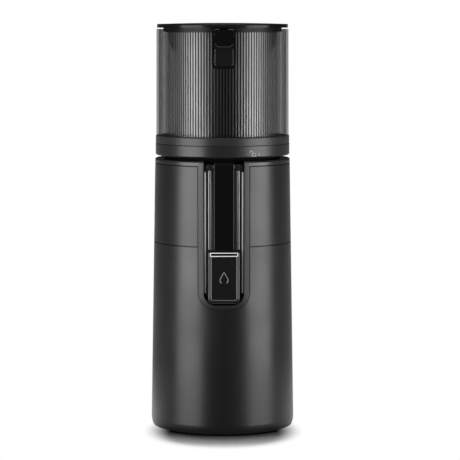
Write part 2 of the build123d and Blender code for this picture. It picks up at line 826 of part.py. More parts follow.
# ---- Motor housing: can with a closed, vented lower end that holds the lower bearing ----
with BuildPart() as motor_housing:
    tube(can_radius, 0, motor_z, can_z)
    with Locations((0, 0, can_z - motor_bearing_height)):
        Cylinder(motor_bearing_radius + snug_gap, motor_bearing_height, align=upright, mode=Mode.SUBTRACT)
    with BuildSketch(Plane.XY.offset(motor_z)) as cap_vents:
        with PolarLocations((can_radius + motor_bearing_radius) / 2, vent_count):
            SlotOverall(vent_length, vent_width)
    extrude(cap_vents.sketch, amount=end_cap_height, mode=Mode.SUBTRACT)
    tube(can_radius, can_radius - can_wall, can_z, case_z)
save(motor_housing, "motor_housing")

# ---- Stator: slotted ring of laminations ----
with BuildPart() as stator_core:
    with BuildSketch(Plane.XY.offset(core_z)):
        Circle(stator_radius)
        with PolarLocations(stator_bore + slot_depth, stator_slots):
            RectangleRounded(slot_depth, slot_width, slot_width / 4, mode=Mode.SUBTRACT)
        Circle(stator_bore, mode=Mode.SUBTRACT)
    extrude(amount=core_height)
save(stator_core, "stator_core")

# ---- Windings: a coil ring over each end of the core ----
with BuildPart() as stator_windings:
    for level in (core_z - winding_height, core_z + core_height):
        tube(stator_radius - slot_depth / 2, stator_bore + slot_depth / 2, level, level + winding_height)
save(stator_windings, "stator_windings")

# ---- Bearings: two for the rotor and a wide one for the output shaft ----
with BuildPart() as bearings:
    for level in (can_z - motor_bearing_height, case_z - motor_bearing_height):
        tube(motor_bearing_radius, motor_shaft_radius + running_gap, level, level + motor_bearing_height)
    tube(output_bearing_radius, output_radius + running_gap, cover_z, cover_z + output_bearing_height)
save(bearings, "bearings")

# ---- Rotor, its shaft with the first sun gear, and the cooling fan ----
with BuildPart() as rotor_core:
    tube(rotor_radius, motor_shaft_radius + snug_gap, core_z, core_z + core_height)
save(rotor_core, "rotor_core")

with BuildPart() as motor_shaft:
    gear(sun_teeth, first_planet_z - stage_gap / 2, planet_width + stage_gap / 2)
    with Locations((0, 0, motor_z + stage_gap)):
        Cylinder(motor_shaft_radius, first_planet_z - motor_z - stage_gap, align=upright)
    with Locations((0, 0, motor_z)):
        Cylinder(motor_bearing_radius, stage_gap + end_cap_height - motor_bearing_height, align=upright,
                 mode=Mode.SUBTRACT)
save(motor_shaft, "motor_shaft")

with BuildPart() as cooling_fan:
    fan_z = can_z + 2 * stage_gap
    fan_bore = motor_shaft_radius + snug_gap
    tube(fan_hub_radius, fan_bore, fan_z, fan_z + fan_height)
    tube(fan_radius, fan_bore, fan_z + fan_height - fan_blade_width, fan_z + fan_height)
    with PolarLocations((fan_radius + fan_hub_radius) / 2 - fan_blade_width / 2, fan_blades):
        with Locations((0, 0, fan_z)):
            Box(fan_radius - fan_hub_radius, fan_blade_width, fan_height, align=upright)
save(cooling_fan, "cooling_fan")

# ================= Gearbox =================

# ---- Case: its floor closes the motor and holds the upper bearing ----
with BuildPart() as gearbox_case:
    tube(ring_gear_radius + fit_gap + case_wall, 0, case_z, gears_z)
    tube(ring_gear_radius + fit_gap + case_wall, ring_gear_radius + fit_gap, gears_z, cover_z)
    with Locations((0, 0, case_z - motor_bearing_height)):
        Cylinder(motor_bearing_radius + case_wall, motor_bearing_height, align=upright)
        Cylinder(motor_bearing_radius + snug_gap, motor_bearing_height, align=upright, mode=Mode.SUBTRACT)
        Cylinder(motor_shaft_radius + seat_gap, motor_bearing_height + case_floor, align=upright,
                 mode=Mode.SUBTRACT)
save(gearbox_case, "gearbox_case")

with BuildPart() as gearbox_cover:
    tube(ring_gear_radius + fit_gap + case_wall, 0, cover_z, cover_top_z)
    with Locations((0, 0, cover_z)):
        Cylinder(output_bearing_radius + snug_gap, output_bearing_height, align=upright,
                 mode=Mode.SUBTRACT)
        Cylinder(output_radius + seat_gap, cover_thickness, align=upright, mode=Mode.SUBTRACT)
save(gearbox_cover, "gearbox_cover")

with BuildPart() as ring_gear:
    with BuildSketch(Plane.XY.offset(gears_z)) as ring_outline:
        Circle(ring_gear_radius)
        with BuildLine():
            Polyline(*gear_outline(ring_teeth, gear_dedendum, gear_addendum, -gear_backlash, pi / ring_teeth),
                     close=True)
        make_face(mode=Mode.SUBTRACT)
    extrude(amount=cover_z - gears_z)
save(ring_gear, "ring_gear")

# ---- Three planets a stage. Half a tooth of turn puts a gap towards the sun and towards the ring ----
planet_levels = {"first": first_planet_z, "second": second_planet_z}
for stage, level in planet_levels.items():
    for number, (x, y) in enumerate(planet_points, 1):
        with BuildPart() as planet:
            with BuildSketch(Plane((x, y, level))):
                with BuildLine():
                    Polyline(*gear_outline(planet_teeth, gear_addendum, gear_dedendum, gear_backlash,
                                           pi / planet_teeth), close=True)
                make_face()
                Circle(planet_pin_radius + running_gap, mode=Mode.SUBTRACT)
            extrude(amount=planet_width)
        save(planet, f"{stage}_planet_{number}")

# ---- First carrier: planet pins below and the second sun gear above ----
with BuildPart() as first_carrier:
    with Locations((0, 0, first_carrier_z)):
        Cylinder(carrier_radius, carrier_thickness, align=upright)
    with Locations(*[(x, y, first_planet_z) for x, y in planet_points]):
        Cylinder(planet_pin_radius, planet_width + stage_gap, align=upright)
    sun_z = first_carrier_z + carrier_thickness
    gear(sun_teeth, sun_z, second_carrier_z - sun_z - stage_gap / 2)
save(first_carrier, "first_carrier")

# ---- Output shaft: second carrier, thick foot in its bearing, round neck in the seals, hexagon on top ----
with BuildPart() as output_shaft:
    tube(carrier_radius, 0, second_carrier_z, second_carrier_z + carrier_thickness)
    with Locations(*[(x, y, second_planet_z) for x, y in planet_points]):
        Cylinder(planet_pin_radius, planet_width + stage_gap, align=upright)
    turned([(0, second_carrier_z), (output_radius, second_carrier_z), (output_radius, cover_top_z),
            (shaft_radius, cover_top_z + output_radius - shaft_radius), (shaft_radius, shaft_round_z),
            (0, shaft_round_z)])
    with BuildSketch(Plane.XY.offset(shaft_round_z)):
        RegularPolygon(hex_width / 2, 6, major_radius=False)
    extrude(amount=hex_top_z - shaft_round_z)
    chamfer(output_shaft.faces().sort_by(Axis.Z)[-1].edges(), hex_chamfer)
save(output_shaft, "output_shaft")

# ================= Electrics =================

with BuildPart() as control_board:
    block((-board_half_width, board_half_width), (board_y, board_y + board_thickness),
          (plate_top_z, plate_top_z + board_height))
    board_face_y = board_y + board_thickness
    for x, height, size in board_parts:
        middle_z = plate_top_z + height
        block((x - size / 2, x + size / 2), (board_face_y, board_face_y + size / 2),
              (middle_z - size / 2, middle_z + size / 2))
save(control_board, "control_board")

with BuildPart() as reed_sensor:
    sensor_x = slot_half + pocket_wall + fit_gap
    sensor_y = -sqrt((well_radius + well_wall) ** 2 - sensor_x**2) - fit_gap
    block((sensor_x, sensor_x + sensor_width), (sensor_y - sensor_thickness, sensor_y),
          (sensor_top_z - sensor_height, sensor_top_z))
save(reed_sensor, "reed_sensor")

with BuildPart() as switch_bezel:
    border_x = switch_x - fit_gap
    border_z = switch_height - fit_gap
    block((-border_x, border_x), (bezel_face_y - bezel_depth, bezel_face_y),
          (switch_z - border_z, switch_z + border_z))
    block((-switch_half_width, switch_half_width), (bezel_face_y - bezel_depth + bezel_border, base_radius),
          (switch_z - switch_half_height, switch_z + switch_half_height), Mode.SUBTRACT)
    cross_rod(rocker_pin_radius, rocker_pivot_y, switch_z, -border_x, border_x)
save(switch_bezel, "switch_bezel")

with BuildPart() as rocker:
    rocker_back_y = rocker_pivot_y - rocker_back
    rocker_side_y = rocker_tip_y - rocker_side
    rocker_foot_z = switch_z - rocker_half_height
    rocker_head_z = switch_z + rocker_half_height
    side_profile([(rocker_back_y, switch_z - 2 * rocker_pin_radius), (rocker_side_y, rocker_foot_z),
                  (rocker_tip_y, rocker_foot_z), (rocker_valley_y, switch_z), (rocker_tip_y, rocker_head_z),
                  (rocker_side_y, rocker_head_z), (rocker_back_y, switch_z + 2 * rocker_pin_radius)],
                 rocker_half_width)
    cross_rod(rocker_pin_radius + running_gap, rocker_pivot_y, switch_z, -border_x, border_x, Mode.SUBTRACT)
save(rocker, "rocker")

with BuildPart() as cord_gland:
    gland_end_y = base_radius - fit_gap
    front_rod(gland_radius, 0, gland_z, gland_end_y, gland_end_y - gland_length)
    flange_top_z = gland_z + gland_flange_radius
    flange_y = sqrt((body_radius(flange_top_z) - wall) ** 2 - gland_flange_radius**2) - fit_gap
    front_rod(gland_flange_radius, 0, gland_z, flange_y, flange_y - gland_flange)
    front_rod(gland_bore, 0, gland_z, base_radius, well_radius, Mode.SUBTRACT)
save(cord_gland, "cord_gland")

# ================= Juicing chamber =================

with BuildPart() as chamber_drum:
    inner = drum_radius - drum_wall
    hub = drum_hub_radius + drum_hub_wall
    ledge_inner = strainer_radius + ledge_height + 2 * strainer_wall
    turned([(drum_hub_radius, drum_z), (drum_radius, drum_z), (drum_radius, drum_top_z),
            (inner, drum_top_z), (inner, strainer_ledge_z), (ledge_inner, strainer_ledge_z),
            (ledge_inner, strainer_ledge_z - drum_ledge_edge),
            (inner, strainer_ledge_z - drum_ledge_height), (inner, drum_floor_z), (hub, drum_floor_z),
            (hub, drum_floor_z + drum_hub_height), (drum_hub_radius, drum_floor_z + drum_hub_height)])
    block((-channel_half, channel_half), (-base_radius, -drum_radius / 2),
          (drum_floor_z, channel_top_z), Mode.SUBTRACT)
    block((-chute_half, chute_half), (drum_radius / 2, base_radius), (chute_bottom_z, chute_top_z),
          Mode.SUBTRACT)
save(chamber_drum, "chamber_drum")

with BuildPart() as drum_seal:
    tube(drum_hub_radius - snug_gap, shaft_radius + running_gap, drum_z + fit_gap,
         drum_floor_z + drum_hub_height / 2)
save(drum_seal, "drum_seal")

with BuildPart() as strainer:
    strainer_z = drum_floor_z + fit_gap
    turned([(strainer_radius - strainer_foot, strainer_z), (strainer_radius, strainer_z),
            (strainer_radius, strainer_ledge_z + fit_gap), (inner - fit_gap, strainer_ledge_z + fit_gap),
            (inner - fit_gap, strainer_ledge_z + strainer_flange),
            (strainer_radius - strainer_wall, strainer_ledge_z + strainer_flange),
            (strainer_radius - strainer_wall, strainer_z + strainer_wall),
            (strainer_radius - strainer_foot, strainer_z + strainer_wall)])
    with PolarLocations(strainer_radius - strainer_wall / 2, strainer_slots):
        with Locations((0, 0, strainer_z + 2 * strainer_flange)):
            Box(3 * strainer_wall, strainer_slot_width, strainer_slot_height, align=upright,
                mode=Mode.SUBTRACT)
save(strainer, "strainer")

# ---- Ring on top of the drum, with the flange that the bayonet lugs of the hopper turn under ----
with BuildPart() as chamber_ring:
    flange_inner = spigot_radius + bayonet_gap
    ring_inner = ring_radius - ring_wall
    turned([(drum_radius + snug_gap, ring_z), (ring_radius, ring_z), (ring_radius, ring_top_z),
            (ring_inner, ring_top_z), (ring_inner, ring_z + ring_floor),
            (drum_radius + snug_gap, ring_z + ring_floor)], rounds=ring_edge, foot_rounds=ring_round)
    tube(ring_inner + ring_wall / 2, flange_inner, bayonet_flange_z, ring_top_z)
    ring_sectors(flange_inner - overcut, ring_inner, bayonet_flange_z - overcut, ring_top_z + overcut,
                 lug_count, entry_middle, bayonet_entry, Mode.SUBTRACT)
save(chamber_ring, "chamber_ring")

# ---- Spout housing: slides in the slot and brings the juice down to the nozzle ----
with BuildPart() as spout_housing:
    front_outline(spout_half, spout_bottom_z, spout_top_z, spout_corner, spout_back_y, spout_front_y)
    for side in (-1, 1):
        front_rod(eyelet_radius, side * eyelet_x, pivot_z, spout_front_y, eyelet_end_y)
        front_rod(eyelet_hole, side * eyelet_x, pivot_z, eyelet_end_y + eyelet_depth, eyelet_end_y,
                  Mode.SUBTRACT)
    front_rod(nozzle_radius, 0, nozzle_z, spout_front_y, spout_front_y - nozzle_length)
    front_rod(nozzle_bore, 0, nozzle_z, spout_back_y - channel_wall, spout_front_y - nozzle_length,
              Mode.SUBTRACT)
    block((-channel_half, channel_half), (spout_back_y - channel_wall, spout_front_y + channel_wall),
          (nozzle_z - nozzle_bore, channel_top_z), Mode.SUBTRACT)
    block((-channel_half, channel_half), (spout_front_y + channel_wall, spout_back_y + channel_wall),
          (drum_floor_z, channel_top_z), Mode.SUBTRACT)
    with Locations((0, 0, drum_z)):
        Cylinder(drum_radius + snug_gap, drum_top_z - drum_z, align=upright, mode=Mode.SUBTRACT)
    notch_half = eyelet_x - eyelet_radius
    block((-notch_half, notch_half), (pivot_y + lever_top_z - pivot_z + 2 * pivot_knuckle, -base_radius),
          (lever_shoulder_z - overcut, body_top_z), Mode.SUBTRACT)
    cross_rod(pivot_radius + snug_gap, pivot_y, pivot_z, -spout_half, spout_half, Mode.SUBTRACT)
    magnet_x = (channel_half + channel_wall, channel_half + channel_wall + magnet_size)
    magnet_y = (spout_front_y + channel_wall, spout_front_y + channel_wall + magnet_thickness)
    magnet_z = (sensor_top_z - sensor_height, sensor_top_z - sensor_height + magnet_size)
    block(magnet_x, magnet_y, magnet_z, Mode.SUBTRACT)
save(spout_housing, "spout_housing")

with BuildPart() as interlock_magnet:
    block(magnet_x, magnet_y, magnet_z)
save(interlock_magnet, "interlock_magnet")

with BuildPart() as spout_edge_trims:
    for side in (-1, 1):
        block((side * (spout_half - trim_width), side * spout_half),
              (spout_front_y, spout_front_y - trim_height), (trim_bottom_z, trim_top_z))
save(spout_edge_trims, "spout_edge_trims")

with BuildPart() as lever_pin:
    pin_half = eyelet_x + eyelet_radius
    cross_rod(pivot_radius, pivot_y, pivot_z, -pin_half, pin_half)
save(lever_pin, "lever_pin")

# ================= Juice lever and cap =================

# ---- Lever: wide below the eyelets, narrow between them ----
with BuildPart() as cap_lever:
    with BuildSketch(Plane.XY.offset(lever_bottom_z)):
        back = spout_front_y - lever_gap
        with BuildLine():
            edge_y = back - lever_edge
            slope_x = lever_half - lever_slope
            Polyline((-lever_half, back), (-lever_half, edge_y), (-slope_x, edge_y),
                     (-panel_half, lever_front_y), (panel_half, lever_front_y), (slope_x, edge_y),
                     (lever_half, edge_y), (lever_half, back), close=True)
        make_face()
    extrude(amount=lever_shoulder_z - lever_bottom_z)
    block((-panel_half, panel_half), (back, lever_front_y), (lever_shoulder_z, lever_top_z))
    cross_rod(pivot_knuckle, pivot_y, pivot_z, -panel_half, panel_half)
    for side in (-1, 1):
        front_rod(eyelet_radius + eyelet_clearance, side * eyelet_x, pivot_z, spout_front_y, -base_radius,
                  Mode.SUBTRACT)
    cross_rod(pivot_radius + running_gap, pivot_y, pivot_z, -lever_half, lever_half, Mode.SUBTRACT)
save(cap_lever, "cap_lever")

with BuildPart() as lever_panel:
    block((-panel_half, panel_half), (lever_front_y, lever_front_y - panel_thickness),
          (lever_bottom_z + fit_gap, panel_top_z))
    for side in (-1, 1):
        front_rod(eyelet_radius + eyelet_clearance, side * eyelet_x, pivot_z, spout_front_y, -base_radius,
                  Mode.SUBTRACT)
    fillet(lever_panel.faces().sort_by(Axis.Y)[0].edges(), panel_edge)
save(lever_panel, "lever_panel")

# ---- Cap head: bevelled cover over the nozzle, with a tongue that reaches up to the lever ----
with BuildPart() as cap_head:
    front_outline(head_half, head_bottom_z, head_top_z, head_corner, spout_front_y - head_gap,
                  head_front_y + head_bevel_depth)
    with BuildSketch(Plane.XZ.offset(-head_front_y - head_bevel_depth)) as bevel_foot:
        with Locations((0, (head_bottom_z + head_top_z) / 2)):
            Rectangle(2 * head_half, head_top_z - head_bottom_z)
        fillet(bevel_foot.vertices().group_by(Axis.Y)[0], head_corner)
    extrude(bevel_foot.sketch, amount=head_bevel_depth, taper=degrees(atan2(head_bevel, head_bevel_depth)))
    face_half = head_half - head_bevel
    block((-face_half, face_half), (head_front_y + head_bevel_depth, head_front_y),
          (ledge_bottom_z, head_top_z))
    block((-head_half + head_side, head_half - head_side), (spout_front_y, head_front_y + head_wall),
          (head_bottom_z + head_side, ledge_bottom_z), Mode.SUBTRACT)
    block((-panel_half, panel_half), (spout_front_y - head_gap, head_front_y + 2 * head_bevel_depth),
          (ledge_bottom_z, lever_bottom_z - fit_gap))
save(cap_head, "cap_head")

with BuildPart() as cap_ledge:
    block((-ledge_half, ledge_half), (head_front_y, ledge_front_y), (ledge_bottom_z, ledge_top_z))
    fillet(cap_ledge.edges().filter_by(Axis.Y), ledge_corner)
save(cap_ledge, "cap_ledge")

with BuildPart() as cap_plug:
    plug_face_y = head_front_y + head_wall
    front_rod(nozzle_radius, 0, nozzle_z, plug_face_y + plug_flange, plug_face_y)
    front_rod(nozzle_bore - plug_clearance, 0, nozzle_z, plug_face_y + plug_flange + plug_depth, plug_face_y)
save(cap_plug, "cap_plug")

# ================= Auger =================

with BuildPart() as auger:
    with BuildSketch(Plane.XY.offset(auger_bottom_z), mode=Mode.PRIVATE) as flight_section:
        Rectangle(2 * auger_radius, flight_thickness)
        Circle(auger_core_top - overcut)
    add(Solid.extrude_linear_with_rotation(flight_section.sketch.faces()[0], (0, 0, auger_bottom_z),
                                           (0, 0, auger_top_z - auger_bottom_z), flight_turn))
    with Locations((0, 0, auger_bottom_z)):
        Cylinder(auger_radius, auger_top_z - auger_bottom_z, align=upright, mode=Mode.INTERSECT)
    turned([(0, auger_bottom_z), (auger_core_bottom, auger_bottom_z), (auger_core_top, auger_top_z),
            (0, auger_top_z)])
    with BuildSketch(Plane.XY.offset(auger_bottom_z)):
        RegularPolygon(hex_width / 2 + hex_clearance, 6, major_radius=False)
    extrude(amount=hex_top_z + stage_gap - auger_bottom_z, mode=Mode.SUBTRACT)
save(auger, "auger")

# ---- Feed blade: two swept wings that pull whole produce down to the auger ----
with BuildPart() as feed_blade:
    with Locations((0, 0, auger_top_z)):
        Cylinder(blade_hub_radius, blade_hub_height + blade_height, align=upright)
    with BuildSketch(Plane.XY.offset(auger_top_z + blade_hub_height)):
        for side in (-1, 1):
            with BuildLine():
                leading = RadiusArc((0, side * blade_width / 2), (side * blade_radius, 0), -blade_radius)
                RadiusArc(leading @ 1, (0, -side * blade_width), blade_trail * blade_radius)
                Line((0, -side * blade_width), (0, side * blade_width / 2))
            make_face()
    extrude(amount=blade_height)
save(feed_blade, "feed_blade")

# ================= Hopper =================

with BuildPart() as hopper_collar:
    spigot_inner = spigot_radius - spigot_wall
    sleeve = feed_radius + sleeve_wall
    band_z = ring_top_z + seat_gap
    turned([(feed_radius, sleeve_z), (sleeve, sleeve_z), (sleeve, band_z), (spigot_inner, band_z),
            (spigot_inner, spigot_z), (spigot_radius, spigot_z), (spigot_radius, band_z),
            (collar_radius, band_z), (collar_radius, collar_top_z), (feed_radius, collar_top_z)],
           rounds=collar_edge, foot_rounds=ring_edge)
    ring_sectors(spigot_radius - overcut, ring_inner - bayonet_gap, lug_z, lug_z + lug_height, lug_count,
                 lug_middle, lug_sweep)
save(hopper_collar, "hopper_collar")

with BuildPart() as hopper_wall:
    hopper_z = collar_top_z + snug_gap
    turned([(hopper_foot_radius - hopper_wall_thickness, hopper_z), (hopper_foot_radius, hopper_z),
            (hopper_radius, hopper_top_z), (hopper_radius - hopper_wall_thickness, hopper_top_z)],
           rounds=hopper_wall_thickness / 4)
save(hopper_wall, "hopper_wall")

with BuildPart() as hopper_liner:
    with BuildSketch(Plane.XY.offset(hopper_z)):
        Circle(feed_radius + liner_wall)
        with PolarLocations(feed_radius + liner_wall, rib_count):
            Rectangle(2 * rib_height, rib_width)
        Circle(feed_radius, mode=Mode.SUBTRACT)
    extrude(amount=liner_top_z - hopper_z)
save(hopper_liner, "hopper_liner")

with BuildPart() as lid_hinge_bracket:
    side_profile([(hopper_radius - overcut, hinge_bracket_z), (hinge_y - hinge_knuckle, hinge_bracket_z),
                  (hinge_y + hinge_knuckle, hinge_z), (hopper_radius - overcut, hinge_z)], hinge_half)
    cross_rod(hinge_knuckle, hinge_y, hinge_z, -hinge_half, hinge_half)
    gap_half = hinge_lid_half + hinge_side_gap
    block((-gap_half, gap_half), (hopper_radius - overcut, base_radius + wall),
          (hinge_z - 2 * hinge_knuckle, lid_z), Mode.SUBTRACT)
    Cylinder(hopper_foot_radius, hopper_top_z + lid_crown, align=upright, mode=Mode.SUBTRACT)
    cross_rod(hinge_pin_radius + snug_gap, hinge_y, hinge_z, -hinge_half, hinge_half, Mode.SUBTRACT)
save(lid_hinge_bracket, "lid_hinge_bracket")

with BuildPart() as lid_hinge_pin:
    cross_rod(hinge_pin_radius, hinge_y, hinge_z, -hinge_half, hinge_half)
save(lid_hinge_pin, "lid_hinge_pin")

# ---- Latch bezel: U-shaped frame on the front of the hopper, with a thin plate behind the lever ----
with BuildPart() as latch_bezel:
    tube(bezel_radius, hopper_foot_radius, bezel_bottom_z, hopper_top_z)
    front_outline(bezel_half, bezel_bottom_z, hopper_top_z, bezel_corner, -drum_radius, -base_radius,
                  Mode.INTERSECT)
    front_outline(bezel_inner_half, bezel_bottom_z + bezel_rim, lid_z, bezel_corner - bezel_rim / 2,
                  -drum_radius, -base_radius, Mode.SUBTRACT)
    plate_sweep = 2 * degrees(asin((bezel_inner_half + fit_gap) / hopper_foot_radius))
    ring_sectors(hopper_foot_radius, hopper_foot_radius + bezel_plate, bezel_bottom_z + bezel_rim,
                 bezel_plate_top_z, 1, -90, plate_sweep)
save(latch_bezel, "latch_bezel")

# ================= Lid =================

with BuildPart() as lid_disc:
    with BuildSketch(Plane.XZ) as disc_outline:
        with BuildLine():
            crown_radius = (lid_radius**2 + lid_crown**2) / (2 * lid_crown)
            RadiusArc((lid_radius, lid_top_z), (0, lid_top_z + lid_crown), -crown_radius)
            Polyline((0, lid_top_z + lid_crown), (0, lid_z), (lid_radius, lid_z), (lid_radius, lid_top_z))
        make_face()
        fillet(disc_outline.vertices().sort_by(lambda corner: corner.X + corner.Y)[-1:], lid_edge_round)
    revolve(axis=Axis.Z)
    # rear knuckle of the hinge
    knuckle_front_y = hinge_y - hinge_knuckle + seat_gap
    knuckle_back_y = hinge_y + hinge_knuckle / 2
    side_profile([(dish_radius, lid_z), (knuckle_front_y, lid_z), (knuckle_front_y, hinge_z),
                  (knuckle_back_y, hinge_z), (knuckle_back_y, lid_z + tab_height),
                  (dish_radius, lid_z + tab_height)], hinge_lid_half)
    cross_rod(hinge_knuckle - hinge_end_gap, hinge_y, hinge_z, -hinge_lid_half, hinge_lid_half)
    cross_rod(hinge_pin_radius + running_gap, hinge_y, hinge_z, -hinge_lid_half, hinge_lid_half,
              Mode.SUBTRACT)
    # front tab and the lug that carries the latch
    block((-tab_half, tab_half), (-dish_radius, tab_end_y), (lid_z, lid_z + tab_height))
    with BuildSketch(Plane.YZ.offset(-latch_lug_half)) as lug:
        with Locations((latch_pin_y, latch_pin_z)):
            Circle(latch_lug_radius)
            Rectangle(latch_lug_radius, lid_z + tab_height / 2 - latch_pin_z,
                      align=(Align.MIN, Align.MIN))
            Circle(latch_pin_radius + snug_gap, mode=Mode.SUBTRACT)
    extrude(lug.sketch, amount=2 * latch_lug_half)
save(lid_disc, "lid_disc")

# ---- Inner dish: hub that closes the hopper and a hollow that hangs into the feed opening ----
with BuildPart() as lid_dish:
    dish_top = lid_z - snug_gap
    turned([(0, dish_z), (dish_floor_radius, dish_z), (dish_low_radius, dish_shoulder_z),
            (dish_radius, hub_z), (hub_radius, hub_z), (hub_radius, dish_top),
            (dish_radius - dish_wall, dish_top),
            (dish_low_radius - dish_wall, dish_shoulder_z + dish_wall / 2),
            (dish_floor_radius - dish_wall / 2, dish_z + dish_wall), (0, dish_z + dish_wall)])
    tube(lid_seal_outer + fit_gap, lid_seal_inner - fit_gap, hub_z, liner_top_z + fit_gap + lid_seal_height,
         Mode.SUBTRACT)
save(lid_dish, "lid_dish")

with BuildPart() as lid_seal:
    tube(lid_seal_outer, lid_seal_inner, liner_top_z + fit_gap, liner_top_z + fit_gap + lid_seal_height)
save(lid_seal, "lid_seal")

with BuildPart() as latch_pin:
    cross_rod(latch_pin_radius, latch_pin_y, latch_pin_z, -tab_half, tab_half)
save(latch_pin, "latch_pin")

# ================= Latch =================

# ---- Lever: curved plate with two knuckles at its top and a raised finger grip at its foot ----
lug_room = latch_lug_half + latch_side_gap
with BuildPart() as latch_lever:
    tube(latch_radius, latch_inner_radius, latch_bottom_z, latch_pin_z)
    tube(grip_radius, latch_inner_radius, grip_bottom_z, grip_top_z)
    front_outline(latch_half, latch_bottom_z, latch_pin_z, bezel_corner / 2, -drum_radius, -base_radius,
                  Mode.INTERSECT)
    for side in (-1, 1):
        block((side * grip_half, side * base_radius), (-latch_radius, -base_radius),
              (latch_bottom_z, latch_pin_z), Mode.SUBTRACT)
    cross_rod(latch_knuckle, latch_pin_y, latch_pin_z, -latch_half, latch_half)
    block((-lug_room, lug_room), (-drum_radius, -base_radius), (latch_pin_z - 2 * latch_lug_radius, lid_z),
          Mode.SUBTRACT)
    cross_rod(latch_pin_radius + running_gap, latch_pin_y, latch_pin_z, -latch_half, latch_half,
              Mode.SUBTRACT)
save(latch_lever, "latch_lever")

with BuildPart() as latch_pad:
    pad_inner = latch_radius + snug_gap
    turned([(pad_inner, pad_bottom_z), (pad_radius, pad_bottom_z), (pad_radius, pad_top_z),
            (pad_inner, pad_top_z)], rounds=pad_round)
    front_outline(pad_half, pad_bottom_z, pad_top_z, 0, -drum_radius, -base_radius, Mode.INTERSECT)
    for side in (-1, 1):
        with BuildSketch(Plane.XZ.offset(drum_radius)) as corner_cut:
            with BuildLine():
                Polyline((side * pad_half, pad_bottom_z), (side * (pad_half - pad_chamfer), pad_bottom_z),
                         (side * pad_half, pad_bottom_z + pad_chamfer), close=True)
            make_face()
        extrude(corner_cut.sketch, amount=base_radius - drum_radius, mode=Mode.SUBTRACT)
    lug_front_y = latch_pin_y - latch_lug_radius - latch_side_gap
    block((-lug_room, lug_room), (-drum_radius, lug_front_y), (latch_pin_z - 2 * latch_lug_radius, lid_z),
          Mode.SUBTRACT)
    block((-lug_room, lug_room), (-drum_radius, -base_radius), (latch_pin_z + pad_bridge, lid_z),
          Mode.SUBTRACT)
    cross_rod(latch_knuckle + latch_side_gap, latch_pin_y, latch_pin_z, -latch_half, latch_half,
              Mode.SUBTRACT)
save(latch_pad, "latch_pad")
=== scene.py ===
# %% [markdown]
# # A cold press juicer, dressed for its portrait
# The solid model arrives as a fixed frame: every part is already in its place, in metres, with the front
# facing -Y. Here the solids get smooth, rounded surfaces, real finishes, soft light and a camera.
# Sizes are written in millimetres and turned to metres with MM.

# %% Load the frame
import bmesh
import bpy
import json
from math import cos, pi, radians, sin, sqrt
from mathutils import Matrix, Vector


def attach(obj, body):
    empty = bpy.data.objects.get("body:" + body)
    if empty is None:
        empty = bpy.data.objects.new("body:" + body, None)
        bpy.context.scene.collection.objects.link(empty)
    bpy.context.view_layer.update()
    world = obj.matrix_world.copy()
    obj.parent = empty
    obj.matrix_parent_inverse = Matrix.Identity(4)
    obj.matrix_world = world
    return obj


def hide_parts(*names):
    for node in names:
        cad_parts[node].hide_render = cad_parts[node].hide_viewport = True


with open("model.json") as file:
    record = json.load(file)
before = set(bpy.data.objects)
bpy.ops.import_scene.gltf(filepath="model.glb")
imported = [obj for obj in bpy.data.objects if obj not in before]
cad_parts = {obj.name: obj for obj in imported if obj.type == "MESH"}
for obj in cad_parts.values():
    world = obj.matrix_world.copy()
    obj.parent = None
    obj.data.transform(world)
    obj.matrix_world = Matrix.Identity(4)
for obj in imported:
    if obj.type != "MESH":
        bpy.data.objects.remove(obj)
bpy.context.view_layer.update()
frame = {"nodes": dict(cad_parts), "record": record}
nodes = frame["nodes"]
bodies = frame["record"]["behaviour"]["bodies"]
body_of = {node: body for body, members in bodies.items() for node in members}

MM = 0.001

# %% [markdown]
# ## Small helpers for materials
# A finish is a graph of shader nodes. One function turns the hex colours that a paint chart would give
# into the linear values that the renderer works in, and one adds a node with its settings and its links.
# The others are the nodes that every finish needs, so that each finish reads like a recipe.

# %% Colour and node helpers
def linear(hex_colour):
    """The linear colour of an sRGB hex value."""
    channels = [int(hex_colour[start:start + 2], 16) / 255 for start in (1, 3, 5)]
    return [c / 12.92 if c <= 0.04045 else ((c + 0.055) / 1.055) ** 2.4 for c in channels] + [1.0]


def add_node(tree, kind, settings=None, **sockets):
    """Add a node. Settings are its properties. A socket gets a value, or the output that is linked to it."""
    node = tree.nodes.new(kind)
    for name, value in (settings or {}).items():
        setattr(node, name, value)
    for name, value in sockets.items():
        socket = node.inputs[int(name[1:])] if name[0] == "_" else node.inputs[name.replace("_", " ")]
        if isinstance(value, bpy.types.NodeSocket):
            tree.links.new(value, socket)
        else:
            socket.default_value = value
    return node


def new_finish(name, **sockets):
    """A material with one Principled shader, and the coordinates of the object in metres."""
    material = bpy.data.materials.new(name)
    material.use_nodes = True
    tree = material.node_tree
    shader = tree.nodes["Principled BSDF"]
    for socket, value in sockets.items():
        shader.inputs[socket.replace("_", " ")].default_value = value
    place = add_node(tree, "ShaderNodeTexCoord").outputs["Object"]
    return material, tree, shader, place


def noise(tree, place, size, detail):
    """Soft noise with spots of a size in millimetres."""
    return add_node(tree, "ShaderNodeTexNoise", Vector=place, Scale=1 / (size * MM),
                    Detail=detail).outputs["Fac"]


def map_range(tree, value, low, high, to_low=0.0, to_high=1.0, smooth=False):
    """Map a value from one range to another, in a straight line or with smooth ends."""
    kind = {"interpolation_type": "SMOOTHSTEP" if smooth else "LINEAR"}
    return add_node(tree, "ShaderNodeMapRange", kind, Value=value, From_Min=low, From_Max=high,
                    To_Min=to_low, To_Max=to_high).outputs[0]


def arithmetic(tree, operation, first, second=0.0):
    """One operation on two outputs or numbers."""
    return add_node(tree, "ShaderNodeMath", {"operation": operation}, _0=first, _1=second).outputs[0]


def blend(tree, factor, first, second):
    """Mix two colours, each given by four values or by an output. Sockets 6, 7 and 2 carry colours."""
    return add_node(tree, "ShaderNodeMix", {"data_type": "RGBA"}, Factor=factor, _6=first,
                    _7=second).outputs[2]


